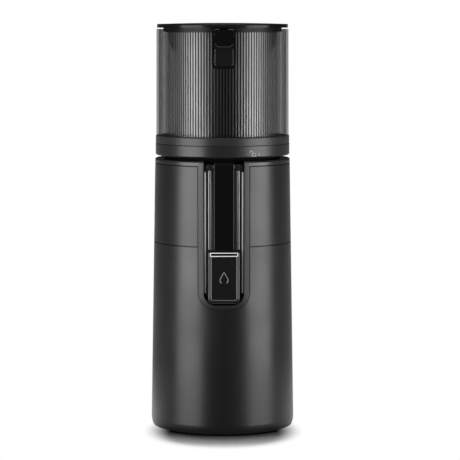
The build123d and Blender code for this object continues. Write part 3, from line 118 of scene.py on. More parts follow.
def relief(tree, height, depth):
    """Bump with a depth in millimetres."""
    return add_node(tree, "ShaderNodeBump", Height=height, Strength=1.0, Distance=depth * MM).outputs[0]


def facing(tree):
    """How far the surface turns away from the eye, from 0 face on to 1 edge on."""
    return add_node(tree, "ShaderNodeLayerWeight", Blend=0.5).outputs["Facing"]


def plug(tree, shader, **outputs):
    """Link outputs to the named sockets of a shader."""
    for socket, output in outputs.items():
        tree.links.new(output, shader.inputs[socket.replace("_", " ")])


NOISE_SPAN = (0.3, 0.7)  # nearly all values of a noise lie between these
PLASTIC_IOR = 1.5
finishes = {}
print("helpers ready, noise read from", NOISE_SPAN[0], "to", NOISE_SPAN[1])

# %% [markdown]
# ## Moulded plastic
# Nearly every outer part is ABS or polycarbonate from an injection mould. The mould's steel is eroded with
# sparks to a fine even grain, which the plastic copies: that grain is what makes the plastic look satin
# instead of wet. So the recipe is a dark colour, a middling roughness, a grain of a few tenths of a
# millimetre as bump, and a slow drift of the roughness, because no moulding is perfectly even.

# %% Moulded plastics
CLOUD = 60  # size of the slow drift of the roughness, in millimetres
SPECKLE = 0.15  # how much the grain darkens and lightens the colour


def shade(colour, factor):
    """A hex colour made darker or lighter, as linear values."""
    return [min(1, channel * factor) for channel in linear(colour)[:3]] + [1.0]


def moulded(name, colour, roughness, grain, depth, drift=0.04, **sockets):
    """Injection moulded plastic. Grain and depth of the eroded texture are in millimetres."""
    material, tree, shader, place = new_finish(name, IOR=PLASTIC_IOR, **sockets)
    speck = noise(tree, place, grain, 3.0)
    cloud = noise(tree, place, CLOUD, 2.0)
    plug(tree, shader,
         Base_Color=blend(tree, speck, shade(colour, 1 - SPECKLE), shade(colour, 1 + SPECKLE)),
         Roughness=map_range(tree, cloud, *NOISE_SPAN, roughness - drift, roughness + drift),
         Normal=relief(tree, speck, depth))
    return material


finishes["graphite_shell"] = moulded("satin_abs_graphite", "#161617", 0.34, 0.5, 0.002)
finishes["satin_trim"] = moulded("satin_abs_trim", "#1e1e1f", 0.33, 0.5, 0.003)
finishes["black_inner"] = moulded("matt_polypropylene_black", "#0b0b0c", 0.5, 0.8, 0.01)
dish_black = moulded("satin_abs_dish", "#09090a", 0.42, 0.5, 0.002, Specular_IOR_Level=0.3)
cap_black = moulded("satin_abs_cap", "#141415", 0.38, 0.4, 0.002, Specular_IOR_Level=0.3)
# Deep black also paints the shade in the narrow joint round the slot frame.
deep_black_and_gap_shade = moulded("matt_polypropylene_black_and_gap_shade", "#040404", 0.7, 0.8, 0.01, Specular_IOR_Level=0.1)
# A mid grey for chamfers: a painted highlight on the edges that it covers.
edge_painted_highlight = moulded("satin_abs_edge_painted_highlight", "#59595b", 0.3, 0.4, 0.001)
finishes["lever_plastic"] = moulded("satin_abs_lever", "#161617", 0.25, 0.4, 0.002)
finishes["auger_plastic"] = moulded("filled_polyetherimide_grey", "#2e2f31", 0.4, 0.8, 0.01)
finishes["fan_plastic"] = moulded("glass_filled_nylon_grey", "#3a3b3d", 0.55, 0.9, 0.015)
finishes["sensor"] = moulded("epoxy_potting_black", "#17171a", 0.3, 1.5, 0.01)
print("moulded plastics:", len(finishes))

# %% [markdown]
# ## Piano black
# The latch, the lever's cover and the hub of the lid are gloss black: the same ABS from a polished mould.
# With no grain, the surface mirrors the soft boxes with crisp edges. A very long, very shallow wave keeps
# the mirror from looking computed, since thick mouldings always sink a little as they cool.

# %% Gloss plastics
SINK_SIZE, SINK_DEPTH = 18, 0.03  # spacing and depth of the sink marks, in millimetres
WIPE_MARKS, WIPE_HAZE = 3, 0.05  # size in millimetres and strength of the haze that a cloth leaves


def piano_black(name, colour, roughness):
    """Gloss ABS from a polished mould, with the slight sink marks of a thick moulding."""
    material, tree, shader, place = new_finish(name, Base_Color=linear(colour), IOR=PLASTIC_IOR,
                                               Coat_Weight=0.6, Coat_Roughness=0.03)
    sink = noise(tree, place, SINK_SIZE, 1.0)
    haze = noise(tree, place, WIPE_MARKS, 4.0)
    plug(tree, shader, Roughness=map_range(tree, haze, 0.35, 0.7, roughness, roughness + WIPE_HAZE),
         Normal=relief(tree, sink, SINK_DEPTH))
    return material


finishes["piano_black"] = piano_black("gloss_abs_piano_black", "#070708", 0.08)
finishes["black_gloss"] = piano_black("gloss_polycarbonate_black", "#0b0b0c", 0.12)
print("with gloss plastics:", len(finishes))

# %% [markdown]
# ## Smoked clear plastic
# The hopper and the lid's disc are clear plastic with a grey dye. Thin walls of it hardly bend the light,
# so a see-through alpha does the job of full refraction and renders without noise. Light that crosses a
# wall at a slant travels further through the dye, so the wall is darkest where it turns away from the eye.
# The liner inside has more dye and ribs, which turn it almost solid.

# %% Clear plastics
CLEAR_IOR, LINER_IOR = 1.55, 1.7  # the liner mirrors more, as its many small faces do
RIBS = 120  # upright ribs round the liner
FLOW_MARKS, FLOW_HAZE = 25, 0.04  # size in millimetres and strength of the flow marks in clear plastic


def smoked_clear(name, colour, face_on, edge_on, roughness, specular=0.5, turn=(0.1, 0.7)):
    """Tinted clear plastic as a thin wall. Face_on and edge_on are the shares of light that pass.

    Turn says at which slants, from 0 face on to 1 edge on, the share starts and ends to change.
    """
    material, tree, shader, place = new_finish(name, Base_Color=linear(colour), IOR=CLEAR_IOR,
                                               Specular_IOR_Level=specular)
    flow = noise(tree, place, FLOW_MARKS, 2.0)
    plug(tree, shader, Alpha=map_range(tree, facing(tree), *turn, 1 - face_on, 1 - edge_on),
         Roughness=map_range(tree, flow, *NOISE_SPAN, roughness, roughness + FLOW_HAZE))
    return material


def painted_rib_shading(material, ribs, valley_painted_shade, crest_colour, slant_painted_light, specular):
    """Upright stripes round the axis: the valleys between the ribs get painted shade and shine less.

    Towards the slant the crests turn paler: a painted highlight for the light that the lamps put on the
    liner's sides.
    """
    tree = material.node_tree
    place = add_node(tree, "ShaderNodeTexCoord").outputs["Object"]
    parts = add_node(tree, "ShaderNodeSeparateXYZ", _0=place).outputs
    angle = arithmetic(tree, "ARCTAN2", parts["Y"], parts["X"])
    wave = arithmetic(tree, "COSINE", arithmetic(tree, "MULTIPLY", angle, float(ribs)))
    crest = map_range(tree, wave, -0.9, 0.7, smooth=True)
    slant_light = map_range(tree, facing(tree), 0.02, 0.4, smooth=True)
    crests_with_painted_light = blend(tree, slant_light, linear(crest_colour), linear(slant_painted_light))
    plug(tree, tree.nodes["Principled BSDF"],
         Base_Color=blend(tree, crest, linear(valley_painted_shade), crests_with_painted_light),
         Specular_IOR_Level=arithmetic(tree, "MULTIPLY", crest, specular))


finishes["smoked_clear"] = smoked_clear("smoked_copolyester_clear", "#0c0c0d", 0.97, 0.5, 0.3, 0.25)
finishes["smoked_liner"] = smoked_clear("smoked_copolyester_ribbed_painted_shade", "#1c1c1d", 0.0, 0.6, 0.3, 1.0,
                                        turn=(0.22, 0.5))
# Painted shade in the valleys, and a painted highlight on the crests seen at a slant.
painted_rib_shading(finishes["smoked_liner"], RIBS, "#060607", "#2c2c2e", "#98989c", 1.0)
finishes["smoked_liner"].node_tree.nodes["Principled BSDF"].inputs["IOR"].default_value = LINER_IOR
smoked_lid = smoked_clear("smoked_copolyester_lid", "#060607", 0.08, 0.04, 0.2, 0.2)
print("with clear plastics:", len(finishes))

# %% [markdown]
# ## Rubber and silicone
# Feet, dampers and seals are cured rubber. It is matt because its surface is slightly dusty and soft, so it
# gets a high roughness, a low sheen and a coarse, shallow grain.

# %% Rubber
SKIN_SIZE, SKIN_DEPTH = 1.2, 0.03  # grain of the dry skin, in millimetres


def cured_rubber(name, colour):
    """Moulded rubber with a dry skin."""
    material, tree, shader, place = new_finish(name, Base_Color=linear(colour), IOR=1.52, Sheen_Weight=0.15,
                                               Sheen_Roughness=0.4)
    skin = noise(tree, place, SKIN_SIZE, 5.0)
    plug(tree, shader, Roughness=map_range(tree, skin, *NOISE_SPAN, 0.68, 0.85),
         Normal=relief(tree, skin, SKIN_DEPTH))
    return material


finishes["rubber"] = cured_rubber("cured_silicone_black", "#161616")
print("with rubber:", len(finishes))

# %% [markdown]
# ## Metals
# Inside sit turned steel, cast aluminium, a painted motor can and a magnet. Two pale finishes made the same
# way paint highlights on edges of the front. A tool leaves its marks in one direction: a lathe leaves rings,
# a brush leaves lines, a casting leaves pits. The direction comes from stretching a noise along one axis, so
# one function serves all of them.

# %% Metals
SMOOTHER, ROUGHER = 0.06, 0.08  # how far the roughness of worn metal swings round its mean


def worked_metal(name, colour, roughness, marks, stretch, depth, metallic=1.0):
    """Metal with tool marks. Marks is their spacing in millimetres, stretch their length on each axis."""
    material, tree, shader, place = new_finish(name, Base_Color=linear(colour), Metallic=metallic)
    grain = add_node(tree, "ShaderNodeMapping", Vector=place, Scale=stretch).outputs[0]
    lines = noise(tree, grain, marks, 4.0)
    plug(tree, shader, Roughness=map_range(tree, lines, *NOISE_SPAN, roughness - SMOOTHER,
                                           roughness + ROUGHER),
         Normal=relief(tree, lines, depth))
    return material


finishes["screw_steel"] = worked_metal("turned_steel", "#b4b4b6", 0.28, 0.4, (1, 1, 8), 0.004)
finishes["gear_steel"] = worked_metal("cut_gear_steel", "#9a9b9f", 0.34, 0.5, (6, 6, 1), 0.006)
finishes["motor_steel"] = worked_metal("enamelled_steel_can", "#3c3d40", 0.4, 1.5, (1, 1, 1), 0.01,
                                       metallic=0.3)
finishes["gearbox_shell"] = worked_metal("die_cast_aluminium", "#b9babc", 0.48, 1.2, (1, 1, 1), 0.02)
finishes["screen_steel"] = worked_metal("rolled_stainless_screen", "#c4c5c6", 0.3, 0.5, (1, 1, 0.1), 0.004)
# A pale finish that paints highlights on the edges that carry it.
finishes["bright_edge"] = worked_metal("pale_abs_painted_highlight", "#d6d7d9", 0.3, 0.6, (1, 1, 0.1), 0.001,
                                       metallic=0.3)
finishes["magnet"] = worked_metal("nickel_plated_magnet", "#b9b6ae", 0.2, 0.8, (1, 1, 1), 0.002)
# Near-white and not metal: a painted highlight for the rim of the cap's ledge.
ledge_painted_highlight = worked_metal("near_white_abs_painted_highlight", "#f6f6f7", 0.3, 0.6, (1, 1, 0.1), 0.001, metallic=0.0)
print("with metals:", len(finishes))

# %% [markdown]
# ## Laminations, copper and circuit board
# Three finishes live only inside the motor bay. A stator is a stack of half-millimetre steel sheets, a
# winding is enamelled copper wire, and the board is glass laminate under green lacquer with pale tracks.
# Bands and cells of the right size say all of that.

# %% Finishes of the motor bay
WAVE_PITCH = 0.314  # scale at which a wave texture repeats once per unit
LAYER_DEPTH = 0.1  # depth of the groove between two layers, in millimetres
TRACK_PITCH = 2.5  # spacing of the tracks, in millimetres


def banded(name, dark, light, pitch, roughness, metallic):
    """Even layers or windings. Pitch is their spacing in millimetres, drawn coarse enough to be seen."""
    material, tree, shader, place = new_finish(name, Metallic=metallic, Roughness=roughness)
    layers = add_node(tree, "ShaderNodeTexWave", {"wave_type": "BANDS", "bands_direction": "Z"},
                      Vector=place, Scale=WAVE_PITCH / (pitch * MM), Distortion=0.4,
                      Detail=1.0).outputs["Fac"]
    plug(tree, shader, Base_Color=blend(tree, layers, linear(dark), linear(light)),
         Normal=relief(tree, layers, LAYER_DEPTH))
    return material


def circuit_laminate(name, lacquer, track):
    """Green lacquer over glass laminate, with pale tracks."""
    material, tree, shader, place = new_finish(name, IOR=1.5, Roughness=0.3)
    cells = add_node(tree, "ShaderNodeTexVoronoi", {"distance": "MANHATTAN"}, Vector=place,
                     Scale=1 / (TRACK_PITCH * MM), Randomness=0.3).outputs["Distance"]
    edge = arithmetic(tree, "GREATER_THAN", cells, 0.55)
    plug(tree, shader, Base_Color=blend(tree, edge, linear(lacquer), linear(track)))
    return material


finishes["laminations"] = banded("electrical_steel_stack", "#3b3c3f", "#77787c", 1.0, 0.45, 1.0)
finishes["copper_wire"] = banded("enamelled_copper_wire", "#6b2f14", "#c5713a", 0.8, 0.3, 1.0)
finishes["board"] = circuit_laminate("lacquered_circuit_laminate", "#0d3b22", "#3f7a4f")
print("finishes:", len(finishes))

# %% [markdown]
# ## Every solid gets its finish
# The record of the part names a finish for each solid. A few pieces that share a plastic with others are a
# little paler or darker than them, so they get their own. The solids keep their shape, and only their
# material slots change.

# %% Dress the solids
slot_of = {entry["node"]: entry["material_slot"] for entry in frame["record"]["subparts"]}
own_finish = {"lid_disc": smoked_lid, "chamber_drum": deep_black_and_gap_shade, "lid_dish": dish_black,
              "cap_head": cap_black, "cap_ledge": finishes["piano_black"],
              "hopper_collar": moulded("satin_abs_collar", "#2c2c2d", 0.36, 0.5, 0.003),
              "chamber_ring": moulded("satin_abs_ring", "#222223", 0.34, 0.5, 0.003),
              # The frame is dark satin plastic. Its slightly paler colour is a painted highlight for the
              # light that its rounded bead catches.
              "trim_frame": moulded("satin_abs_frame_painted_highlight", "#262627", 0.3, 0.5, 0.002)}
for node, slot_name in slot_of.items():
    nodes[node].data.materials.clear()
    nodes[node].data.materials.append(own_finish.get(node, finishes[slot_name]))
print("dressed", len(slot_of), "solids")

# %% [markdown]
# ## Broken edges
# No moulded edge is a perfect line: the mould itself has a small radius, and that radius is what catches a
# bright line of light. The flat-sided pieces of the front are copied, their faces are cleaned up, and every
# sharp edge gets a narrow round bevel. Some edges first get a flat chamfer in a paler finish: a painted
# highlight for that bright line. The copy then stands for the solid.

# %% Copies with rounded edges
SHARP = radians(28)  # edges that bend more than this are rounded
SQUARE = radians(60)  # what still counts as sharp once the first bevel has been cut
WELD = 0.002  # points closer than this are one point, in millimetres


def place_piece(shape, name, finish, node, smooth=radians(35)):
    """Turn a bmesh into an object that moves with the body of a solid."""
    mesh = bpy.data.meshes.new(name)
    bmesh.ops.recalc_face_normals(shape, faces=shape.faces)
    shape.to_mesh(mesh)
    shape.free()
    mesh.materials.append(finish)
    piece = bpy.data.objects.new(name, mesh)
    bpy.context.scene.collection.objects.link(piece)
    mesh.shade_smooth()
    mesh.set_sharp_from_angle(angle=smooth)
    even = piece.modifiers.new("even_faces", "WEIGHTED_NORMAL")
    even.keep_sharp = True
    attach(piece, body_of[node])
    return piece


def bevel(shape, edges, width, segments, material=-1):
    """Bevel edges over a width in millimetres."""
    bmesh.ops.bevel(shape, geom=edges, offset=width * MM, offset_type="OFFSET", segments=segments,
                    profile=0.5, affect="EDGES", clamp_overlap=True, material=material)


def bends(shape, angle):
    """The edges where two faces meet at more than an angle."""
    return [edge for edge in shape.edges if len(edge.link_faces) == 2 and edge.calc_face_angle() > angle]


def broken_edges(node, width, chamfer=None, chosen=None, painted_light=finishes["bright_edge"]):
    """A copy of a solid whose sharp edges are rounded over a width in millimetres.

    Chosen tests an edge's middle point in millimetres: edges that pass get a flat chamfer of their own
    width with the finish called painted_light, a paler colour that paints a highlight on it.
    """
    shape = bmesh.new()
    shape.from_mesh(nodes[node].data)
    bmesh.ops.remove_doubles(shape, verts=shape.verts, dist=WELD * MM)
    bmesh.ops.dissolve_limit(shape, angle_limit=radians(1), verts=shape.verts, edges=shape.edges)
    sharp = bends(shape, SHARP)
    if chosen:
        bright = [edge for edge in sharp if chosen((edge.verts[0].co + edge.verts[1].co) / (2 * MM))]
        bevel(shape, bright, chamfer, segments=1, material=1)
        sharp = bends(shape, SQUARE)
    bevel(shape, sharp, width, segments=3)
    bmesh.ops.triangulate(shape, faces=[face for face in shape.faces if len(face.verts) > 4])
    piece = place_piece(shape, node + "_rounded", nodes[node].data.materials[0], node,
                        smooth=radians(25))
    piece.data.materials.append(painted_light)
    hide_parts(node)
    return piece


def repaint(piece, slot, chosen):
    """Give the faces that pass a test another of the piece's materials."""
    for face in piece.data.polygons:
        if chosen(face):
            face.material_index = slot
    print(piece.name, len(piece.data.polygons), "faces")


EYELET_X, EYELET_Z, EYELET_REACH, EYELET_FRONT = 14.35, 288.5, 3.6, -60  # millimetres


def on_eyelet(point):
    """True for the front edges of the two round eyelets at the top of the spout housing."""
    across, up = abs(point.x) - EYELET_X, point.z - EYELET_Z
    return across**2 + up**2 < EYELET_REACH**2 and point.y < EYELET_FRONT


# A pale grey that paints a highlight on the rims of the cap head and of the eyelets.
rim_painted_highlight = moulded("satin_abs_rim_painted_highlight", "#8a8a8c", 0.3, 0.4, 0.001)
# For each node: width of the rounding, width of the chamfer, which edges get it, and its finish, a paler
# colour that paints a highlight on the chamfer.
edge_plan = {
    "cap_lever": (0.3, 0.6, lambda point: abs(point.x) > 14.5 and point.z > 200, finishes["bright_edge"]),
    "cap_head": (0.3, 0.25, lambda point: point.y < -74, rim_painted_highlight),
    "latch_lever": (0.3, 0.45, lambda point: abs(point.x) > 8 and point.z < 412, finishes["bright_edge"]),
    "latch_pad": (0.35, 0.3, lambda point: point.z < 420, edge_painted_highlight),
    "latch_bezel": (0.5, 0.5, lambda point: point.y < -70, edge_painted_highlight),
    "spout_housing": (0.3, 0.4, on_eyelet, rim_painted_highlight)}
for node, plan in edge_plan.items():
    piece = broken_edges(node, *plan)
    print(piece.name, len(piece.data.polygons), "faces")

# The cover's chamfer has a grey painted highlight at its sides and a bright painted highlight along its top
# end.
TOP_BAND = 1.2  # height of that end, in millimetres
panel = broken_edges("lever_panel", 0.2, 0.55, lambda point: True, edge_painted_highlight)
panel.data.materials.append(finishes["bright_edge"])
panel_top = max(vertex.co.z for vertex in panel.data.vertices)
repaint(panel, 2, lambda face: face.material_index == 1 and face.center.z > panel_top - TOP_BAND * MM)

# The collar's top faces that look up lie inside the clear wall, where little lamp light reaches them, so they
# are painted pale: painted light.
COLLAR_TOP = 316  # faces that look up above this level are pale, in millimetres
collar_top_painted_light = moulded("satin_abs_collar_top_painted_light", "#6e6e71", 0.5, 0.5, 0.003)
collar = broken_edges("hopper_collar", 0.2, painted_light=collar_top_painted_light)
repaint(collar, 1, lambda face: face.normal.z > 0.9 and face.center.z > COLLAR_TOP * MM)

# %% [markdown]
# ## The ribbed liner
# The inner cylinder of the hopper has 120 upright ribs. A rib is a soft bulge between two narrow valleys,
# and the cosine of the angle, flattened a little at its crest, draws exactly that. One ring of points goes
# round the liner, is lifted to its full height, and the inside stays a plain cylinder.

# %% Liner with rounded ribs
def corners_of(node):
    """Smallest and largest coordinates of a solid, in metres."""
    points = [vertex.co for vertex in nodes[node].data.vertices]
    return [Vector([pick(point[axis] for point in points) for axis in range(3)]) for pick in (min, max)]


def bridge(shape, ring, following):
    """Close the strip between two rings of points."""
    for start in range(len(ring)):
        after = (start + 1) % len(ring)
        shape.faces.new((ring[start], ring[after], following[after], following[start]))


def ribbed_liner(ribs, rib_depth, steps):
    """The liner with ribs of a depth in millimetres, each drawn in a number of steps."""
    low, high = corners_of("hopper_liner")
    crest = high.x
    bore = min(vertex.co.xy.length for vertex in nodes["hopper_liner"].data.vertices)
    shape = bmesh.new()
    rings = []
    for radius_at, level in ((None, low.z), (None, high.z), (bore, high.z), (bore, low.z)):
        ring = []
        for step in range(ribs * steps):
            angle = 2 * pi * step / (ribs * steps)
            bulge = abs(cos(angle * ribs / 2))
            radius = radius_at or crest - rib_depth * MM * (1 - bulge)
            ring.append(shape.verts.new((radius * cos(angle), radius * sin(angle), level)))
        rings.append(ring)
    for lower, upper in zip(rings, rings[1:] + rings[:1]):
        bridge(shape, lower, upper)
    return place_piece(shape, "ribbed_liner", finishes["smoked_liner"], "hopper_liner",
                       smooth=radians(60))


liner = ribbed_liner(RIBS, rib_depth=0.15, steps=10)
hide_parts("hopper_liner")
print("liner:", len(liner.data.polygons), "faces")

# %% [markdown]
# ## Painted highlight round the cap's ledge
# Over the cap head sits a small ledge: a dark bar whose rim shows a bright line. That line is a painted
# highlight: a near-white frame, a rounded rectangle swept as a thin square bar with soft edges, in front
# of the solid ledge.

# %% Ledge frame
def rounded_rectangle(half_width, half_height, corner, steps=6):
    """Points (x, z) round a rectangle with round corners, in millimetres."""
    points = []
    for turn, (side_x, side_z) in enumerate(((1, 1), (-1, 1), (-1, -1), (1, -1))):
        for step in range(steps + 1):
            angle = radians(90 * (turn + step / steps))
            points.append((side_x * (half_width - corner) + corner * cos(angle),
                           side_z * (half_height - corner) + corner * sin(angle)))
    return points


BAR_ROOT, BAR_EDGE = 0.3, 0.15  # how deep the frame sits in the solid, and its rounding, in millimetres


def framed_bar(node, line_width, proud, corner, finish):
    """A thin near-white frame, a painted highlight, round the front face of a box-shaped solid."""
    low, high = (point / MM for point in corners_of(node))
    middle = (low + high) / 2
    half_width, half_height = (high.x - low.x) / 2, (high.z - low.z) / 2
    outer = rounded_rectangle(half_width, half_height, corner)
    inner = rounded_rectangle(half_width - line_width, half_height - line_width, corner / 3)
    shape = bmesh.new()
    rings = []
    for outline, depth in ((outer, low.y + BAR_ROOT), (outer, low.y - proud), (inner, low.y - proud),
                           (inner, low.y + BAR_ROOT)):
        rings.append([shape.verts.new(((middle.x + x) * MM, depth * MM, (middle.z + z) * MM))
                      for x, z in outline])
    for ring, following in zip(rings, rings[1:] + rings[:1]):
        bridge(shape, ring, following)
    bevel(shape, bends(shape, SQUARE), BAR_EDGE, segments=2)
    return place_piece(shape, node + "_frame", finish, node)


ledge_highlight_frame = framed_bar("cap_ledge", line_width=0.9, proud=0.25, corner=0.8, finish=ledge_painted_highlight)
print("ledge frame:", len(ledge_highlight_frame.data.polygons), "faces")

# %% [markdown]
# ## Symbols
# Two small symbols are printed on the front: a drop on the cap, and an open padlock with an arrow on the
# chamber's ring, which shows the way to unlock the hopper. Each is a thin line of paint, drawn as a flat
# ribbon that follows the surface under it.

# %% Drawn symbols
PAINT = 0.03  # thickness of the paint over the surface, in millimetres
DROP_LINE, LOCK_LINE = 0.5, 0.6  # widths of the painted lines, in millimetres
paint = moulded("printed_ink_grey", "#b4b4b7", 0.45, 0.3, 0.001)


def ribbon(points, width, closed=False):
    """Left and right borders of a line with a width, along (x, z) points in millimetres."""
    borders = []
    for number, (x, z) in enumerate(points):
        before = points[number - 1] if closed or number else points[0]
        after = points[(number + 1) % len(points)] if closed or number + 1 < len(points) else points[-1]
        along = (Vector(after) - Vector(before)).normalized()
        borders.append(((x - along.y * width / 2, z + along.x * width / 2),
                        (x + along.y * width / 2, z - along.x * width / 2)))
    return borders


def drawn_line(lines, width, surface_y, name, node, finish, proud=PAINT):
    """Thin bars along several lines. Surface_y gives the depth of the surface under a point."""
    shape = bmesh.new()
    for points, closed in lines:
        rings = []
        for left, right in ribbon(points, width, closed):
            corners = [(*left, -proud), (*right, -proud), (*right, proud), (*left, proud)]
            rings.append([shape.verts.new((x * MM, (surface_y(x, z) + depth) * MM, z * MM))
                          for x, z, depth in corners])
        following = rings[1:] + rings[:1] if closed else rings[1:]
        for ring, next_ring in zip(rings, following):
            bridge(shape, ring, next_ring)
        if not closed:
            shape.faces.new(rings[0])
            shape.faces.new(rings[-1])
    return place_piece(shape, name, finish, node)


def arc(centre, radius, start, end, steps=14):
    """Points along an arc, with angles in degrees from +x towards +z."""
    angles = [radians(start + (end - start) * step / steps) for step in range(steps + 1)]
    return [(centre[0] + radius * cos(angle), centre[1] + radius * sin(angle)) for angle in angles]


cap_front = corners_of("cap_head")[0].y / MM
# The drop is open at its foot: two arcs mirror each other, and run up to a tip with narrow shoulders.
drop_centre, drop_radius = (0.0, 168.2), 4.3
tip_z, shoulder_x, shoulder_z = 176.6, 0.6, 175.6
right_side = arc(drop_centre, drop_radius, -50, 16) + [(shoulder_x, shoulder_z)]
left_side = [(-x, z) for x, z in reversed(right_side)]
drop_lines = [(right_side + [(0.0, tip_z)] + left_side, False)]
drop = drawn_line(drop_lines, DROP_LINE, lambda x, z: cap_front, "drop_symbol", "cap_head", paint)

ring_radius = corners_of("chamber_ring")[1].x / MM


def on_ring(x, z):
    """Depth of the ring's outer face at a distance x from the middle."""
    return -sqrt(ring_radius**2 - x**2)


# The padlock: a square body, a bow that has swung open to the left, and an arrow that points at it.
lock_x, lock_z = 32.3, 301.4
lock_left, lock_right = lock_x - 1.9, lock_x + 1.9
lock_foot, lock_head = lock_z - 1.7, lock_z + 1.4
body_of_lock = [(lock_left, lock_foot), (lock_right, lock_foot), (lock_right, lock_head),
                (lock_left, lock_head)]
bow = [(lock_x - 1.5, lock_head)] + arc((lock_x - 2.9, lock_z + 2.7), 1.5, 0, 200)
arrow_tip, arrow_barb, arrow_tail = lock_x + 4.6, lock_x + 6.4, lock_x + 16.0
arrow = [(arrow_tip, lock_z), (arrow_tail, lock_z)]
arrow_head = [(arrow_barb, lock_z + 1.0), (arrow_tip, lock_z), (arrow_barb, lock_z - 1.0)]
lock_lines = [(body_of_lock, True), (bow, False), (arrow, False), (arrow_head, False)]
lock = drawn_line(lock_lines, LOCK_LINE, on_ring, "lock_symbol", "chamber_ring", paint)
print("symbols:", len(drop.data.polygons), len(lock.data.polygons), "faces")

# %% [markdown]
# ## Joint round the slot frame
# The frame of the slot meets the housings in a narrow joint with rounded lips, and the shade inside it reads
# as a dark line. A thin black bar that follows the body's taper paints that shade.

# %% Frame joint
JOINT_WIDTH, JOINT_PROUD = 0.8, 0.12  # millimetres
BODY_RADIUS, TAPER = 78.43, 0.0164  # radius at the table in millimetres, and its loss per millimetre


def on_body(x, z):
    """Depth of the tapered body's face at a distance x from the middle."""
    return -sqrt((BODY_RADIUS - TAPER * z) ** 2 - x**2)


def frame_outline(half_width, low_z, high_z, corner, steps=24):
    """Left side, round foot and right side of the slot frame as one line of (x, z) points."""
    side = [high_z + (low_z + corner - high_z) * step / steps for step in range(steps)]
    line = [(-half_width, z) for z in side]
    line += arc((corner - half_width, low_z + corner), corner, 180, 270)
    line += arc((half_width - corner, low_z + corner), corner, 270, 360)
    return line + [(half_width, z) for z in side[::-1]]


outline = frame_outline(half_width=27.7, low_z=136.3, high_z=288.4, corner=18.4)
joint_painted_shade = drawn_line([(outline, False)], JOINT_WIDTH, on_body, "frame_joint_painted_shade", "upper_housing", deep_black_and_gap_shade,
                   proud=JOINT_PROUD)
print("frame joint:", len(joint_painted_shade.data.polygons), "faces")

# %% [markdown]
# ## Floor and background
# A product photographer's table is white and endless. The floor is a large glowing white sheet with a painted
# shadow near the juicer, dimmed where the juicer shuts it in, and it fades to plain white away from it. The
# lamps cast no shadow on it. In mirroring surfaces the white shows only from behind the juicer, because the
# studio in front of it is dark.

# %% Floor
MIRRORED_WHITE = 0.3  # strength of the far background in mirroring surfaces
SHIELD_REACH = 85 * MM  # how far round a point of the floor the object darkens it
SHIELD_POWER = 8.0  # deepens the shadow close to the foot
SHIELD_TILT = Vector((0, 0.75, 0.66)).normalized()  # the floor looks up and back, where the juicer stands
OVAL_EDGE = (0.65, 1.02)  # where the shadow's oval starts to fade and where it ends, 1 is its outline
MIRROR_START = (-0.09, 0.02)  # Y in metres between which the mirrored floor turns from dark to white
MIRROR_FADE = (0.15, 0.5)  # distances in metres between which it dims to the far background
FLOOR_SIZE = 6.0  # half of its side, in metres


def seen_white(tree, rays, behind):
    """1 for rays that look or pass through. Mirrored rays get the share of white that behind gives."""
    mirrored = arithmetic(tree, "MULTIPLY", rays["Is Glossy Ray"], behind)
    seen = arithmetic(tree, "MAXIMUM", rays["Is Camera Ray"], rays["Is Transmission Ray"])
    return arithmetic(tree, "MAXIMUM", seen, mirrored)


def paper_floor(centre_y, half_width, half_depth):
    """White glowing paper with a painted shadow: its glow dims where the object shields it, inside an oval
    that reaches forward.
    """
    material, tree, shader, place = new_finish("white_paper_floor_painted_shadow", Roughness=0.9, Specular_IOR_Level=0.0)
    shield = add_node(tree, "ShaderNodeAmbientOcclusion", {"samples": 8}, Distance=SHIELD_REACH,
                      Normal=SHIELD_TILT)
    shadow = arithmetic(tree, "POWER", shield.outputs["AO"], SHIELD_POWER)
    oval = add_node(tree, "ShaderNodeMapping", _0=place, Location=(0, -centre_y / half_depth, 0),
                    Scale=(1 / half_width, 1 / half_depth, 0)).outputs[0]
    reach = add_node(tree, "ShaderNodeVectorMath", {"operation": "LENGTH"}, _0=oval).outputs["Value"]
    paper_with_painted_shadow = arithmetic(tree, "MAXIMUM", shadow, map_range(tree, reach, *OVAL_EDGE, smooth=True))
    glow = add_node(tree, "ShaderNodeEmission", Color=linear("#ffffff"), Strength=paper_with_painted_shadow)
    parts = add_node(tree, "ShaderNodeSeparateXYZ", _0=place)
    away = add_node(tree, "ShaderNodeVectorMath", {"operation": "LENGTH"}, _0=place).outputs["Value"]
    behind = arithmetic(tree, "MULTIPLY", map_range(tree, parts.outputs["Y"], *MIRROR_START),
                        map_range(tree, away, *MIRROR_FADE, 1.0, MIRRORED_WHITE))
    rays = add_node(tree, "ShaderNodeLightPath").outputs
    unseen = arithmetic(tree, "MAXIMUM", rays["Is Glossy Ray"], rays["Is Shadow Ray"])
    nothing = add_node(tree, "ShaderNodeBsdfTransparent").outputs[0]
    lit = add_node(tree, "ShaderNodeMixShader", _0=unseen, _1=shader.outputs[0], _2=nothing).outputs[0]
    mix = add_node(tree, "ShaderNodeMixShader", _0=seen_white(tree, rays, behind), _1=lit,
                   _2=glow.outputs[0])
    plug(tree, tree.nodes["Material Output"], Surface=mix.outputs[0])
    return material


sheet = bmesh.new()
bmesh.ops.create_grid(sheet, x_segments=1, y_segments=1, size=FLOOR_SIZE)
floor_mesh = bpy.data.meshes.new("floor")
sheet.to_mesh(floor_mesh)
sheet.free()
floor_mesh.materials.append(paper_floor(centre_y=-45 * MM, half_width=87 * MM, half_depth=118 * MM))
floor = bpy.data.objects.new("floor", floor_mesh)
bpy.context.scene.collection.objects.link(floor)
print("floor:", 2 * FLOOR_SIZE, "m wide")

# %% [markdown]
# ## Studio light
# Dark satin plastic shows its shape only by what it mirrors. Two wide soft boxes stand left and right of
# the camera, so each draws one long soft streak down the body, with a dark band between them. A third box
# overhead lights the lid. The room is dark in front and white behind, which gives the silhouette its thin
# bright rim.

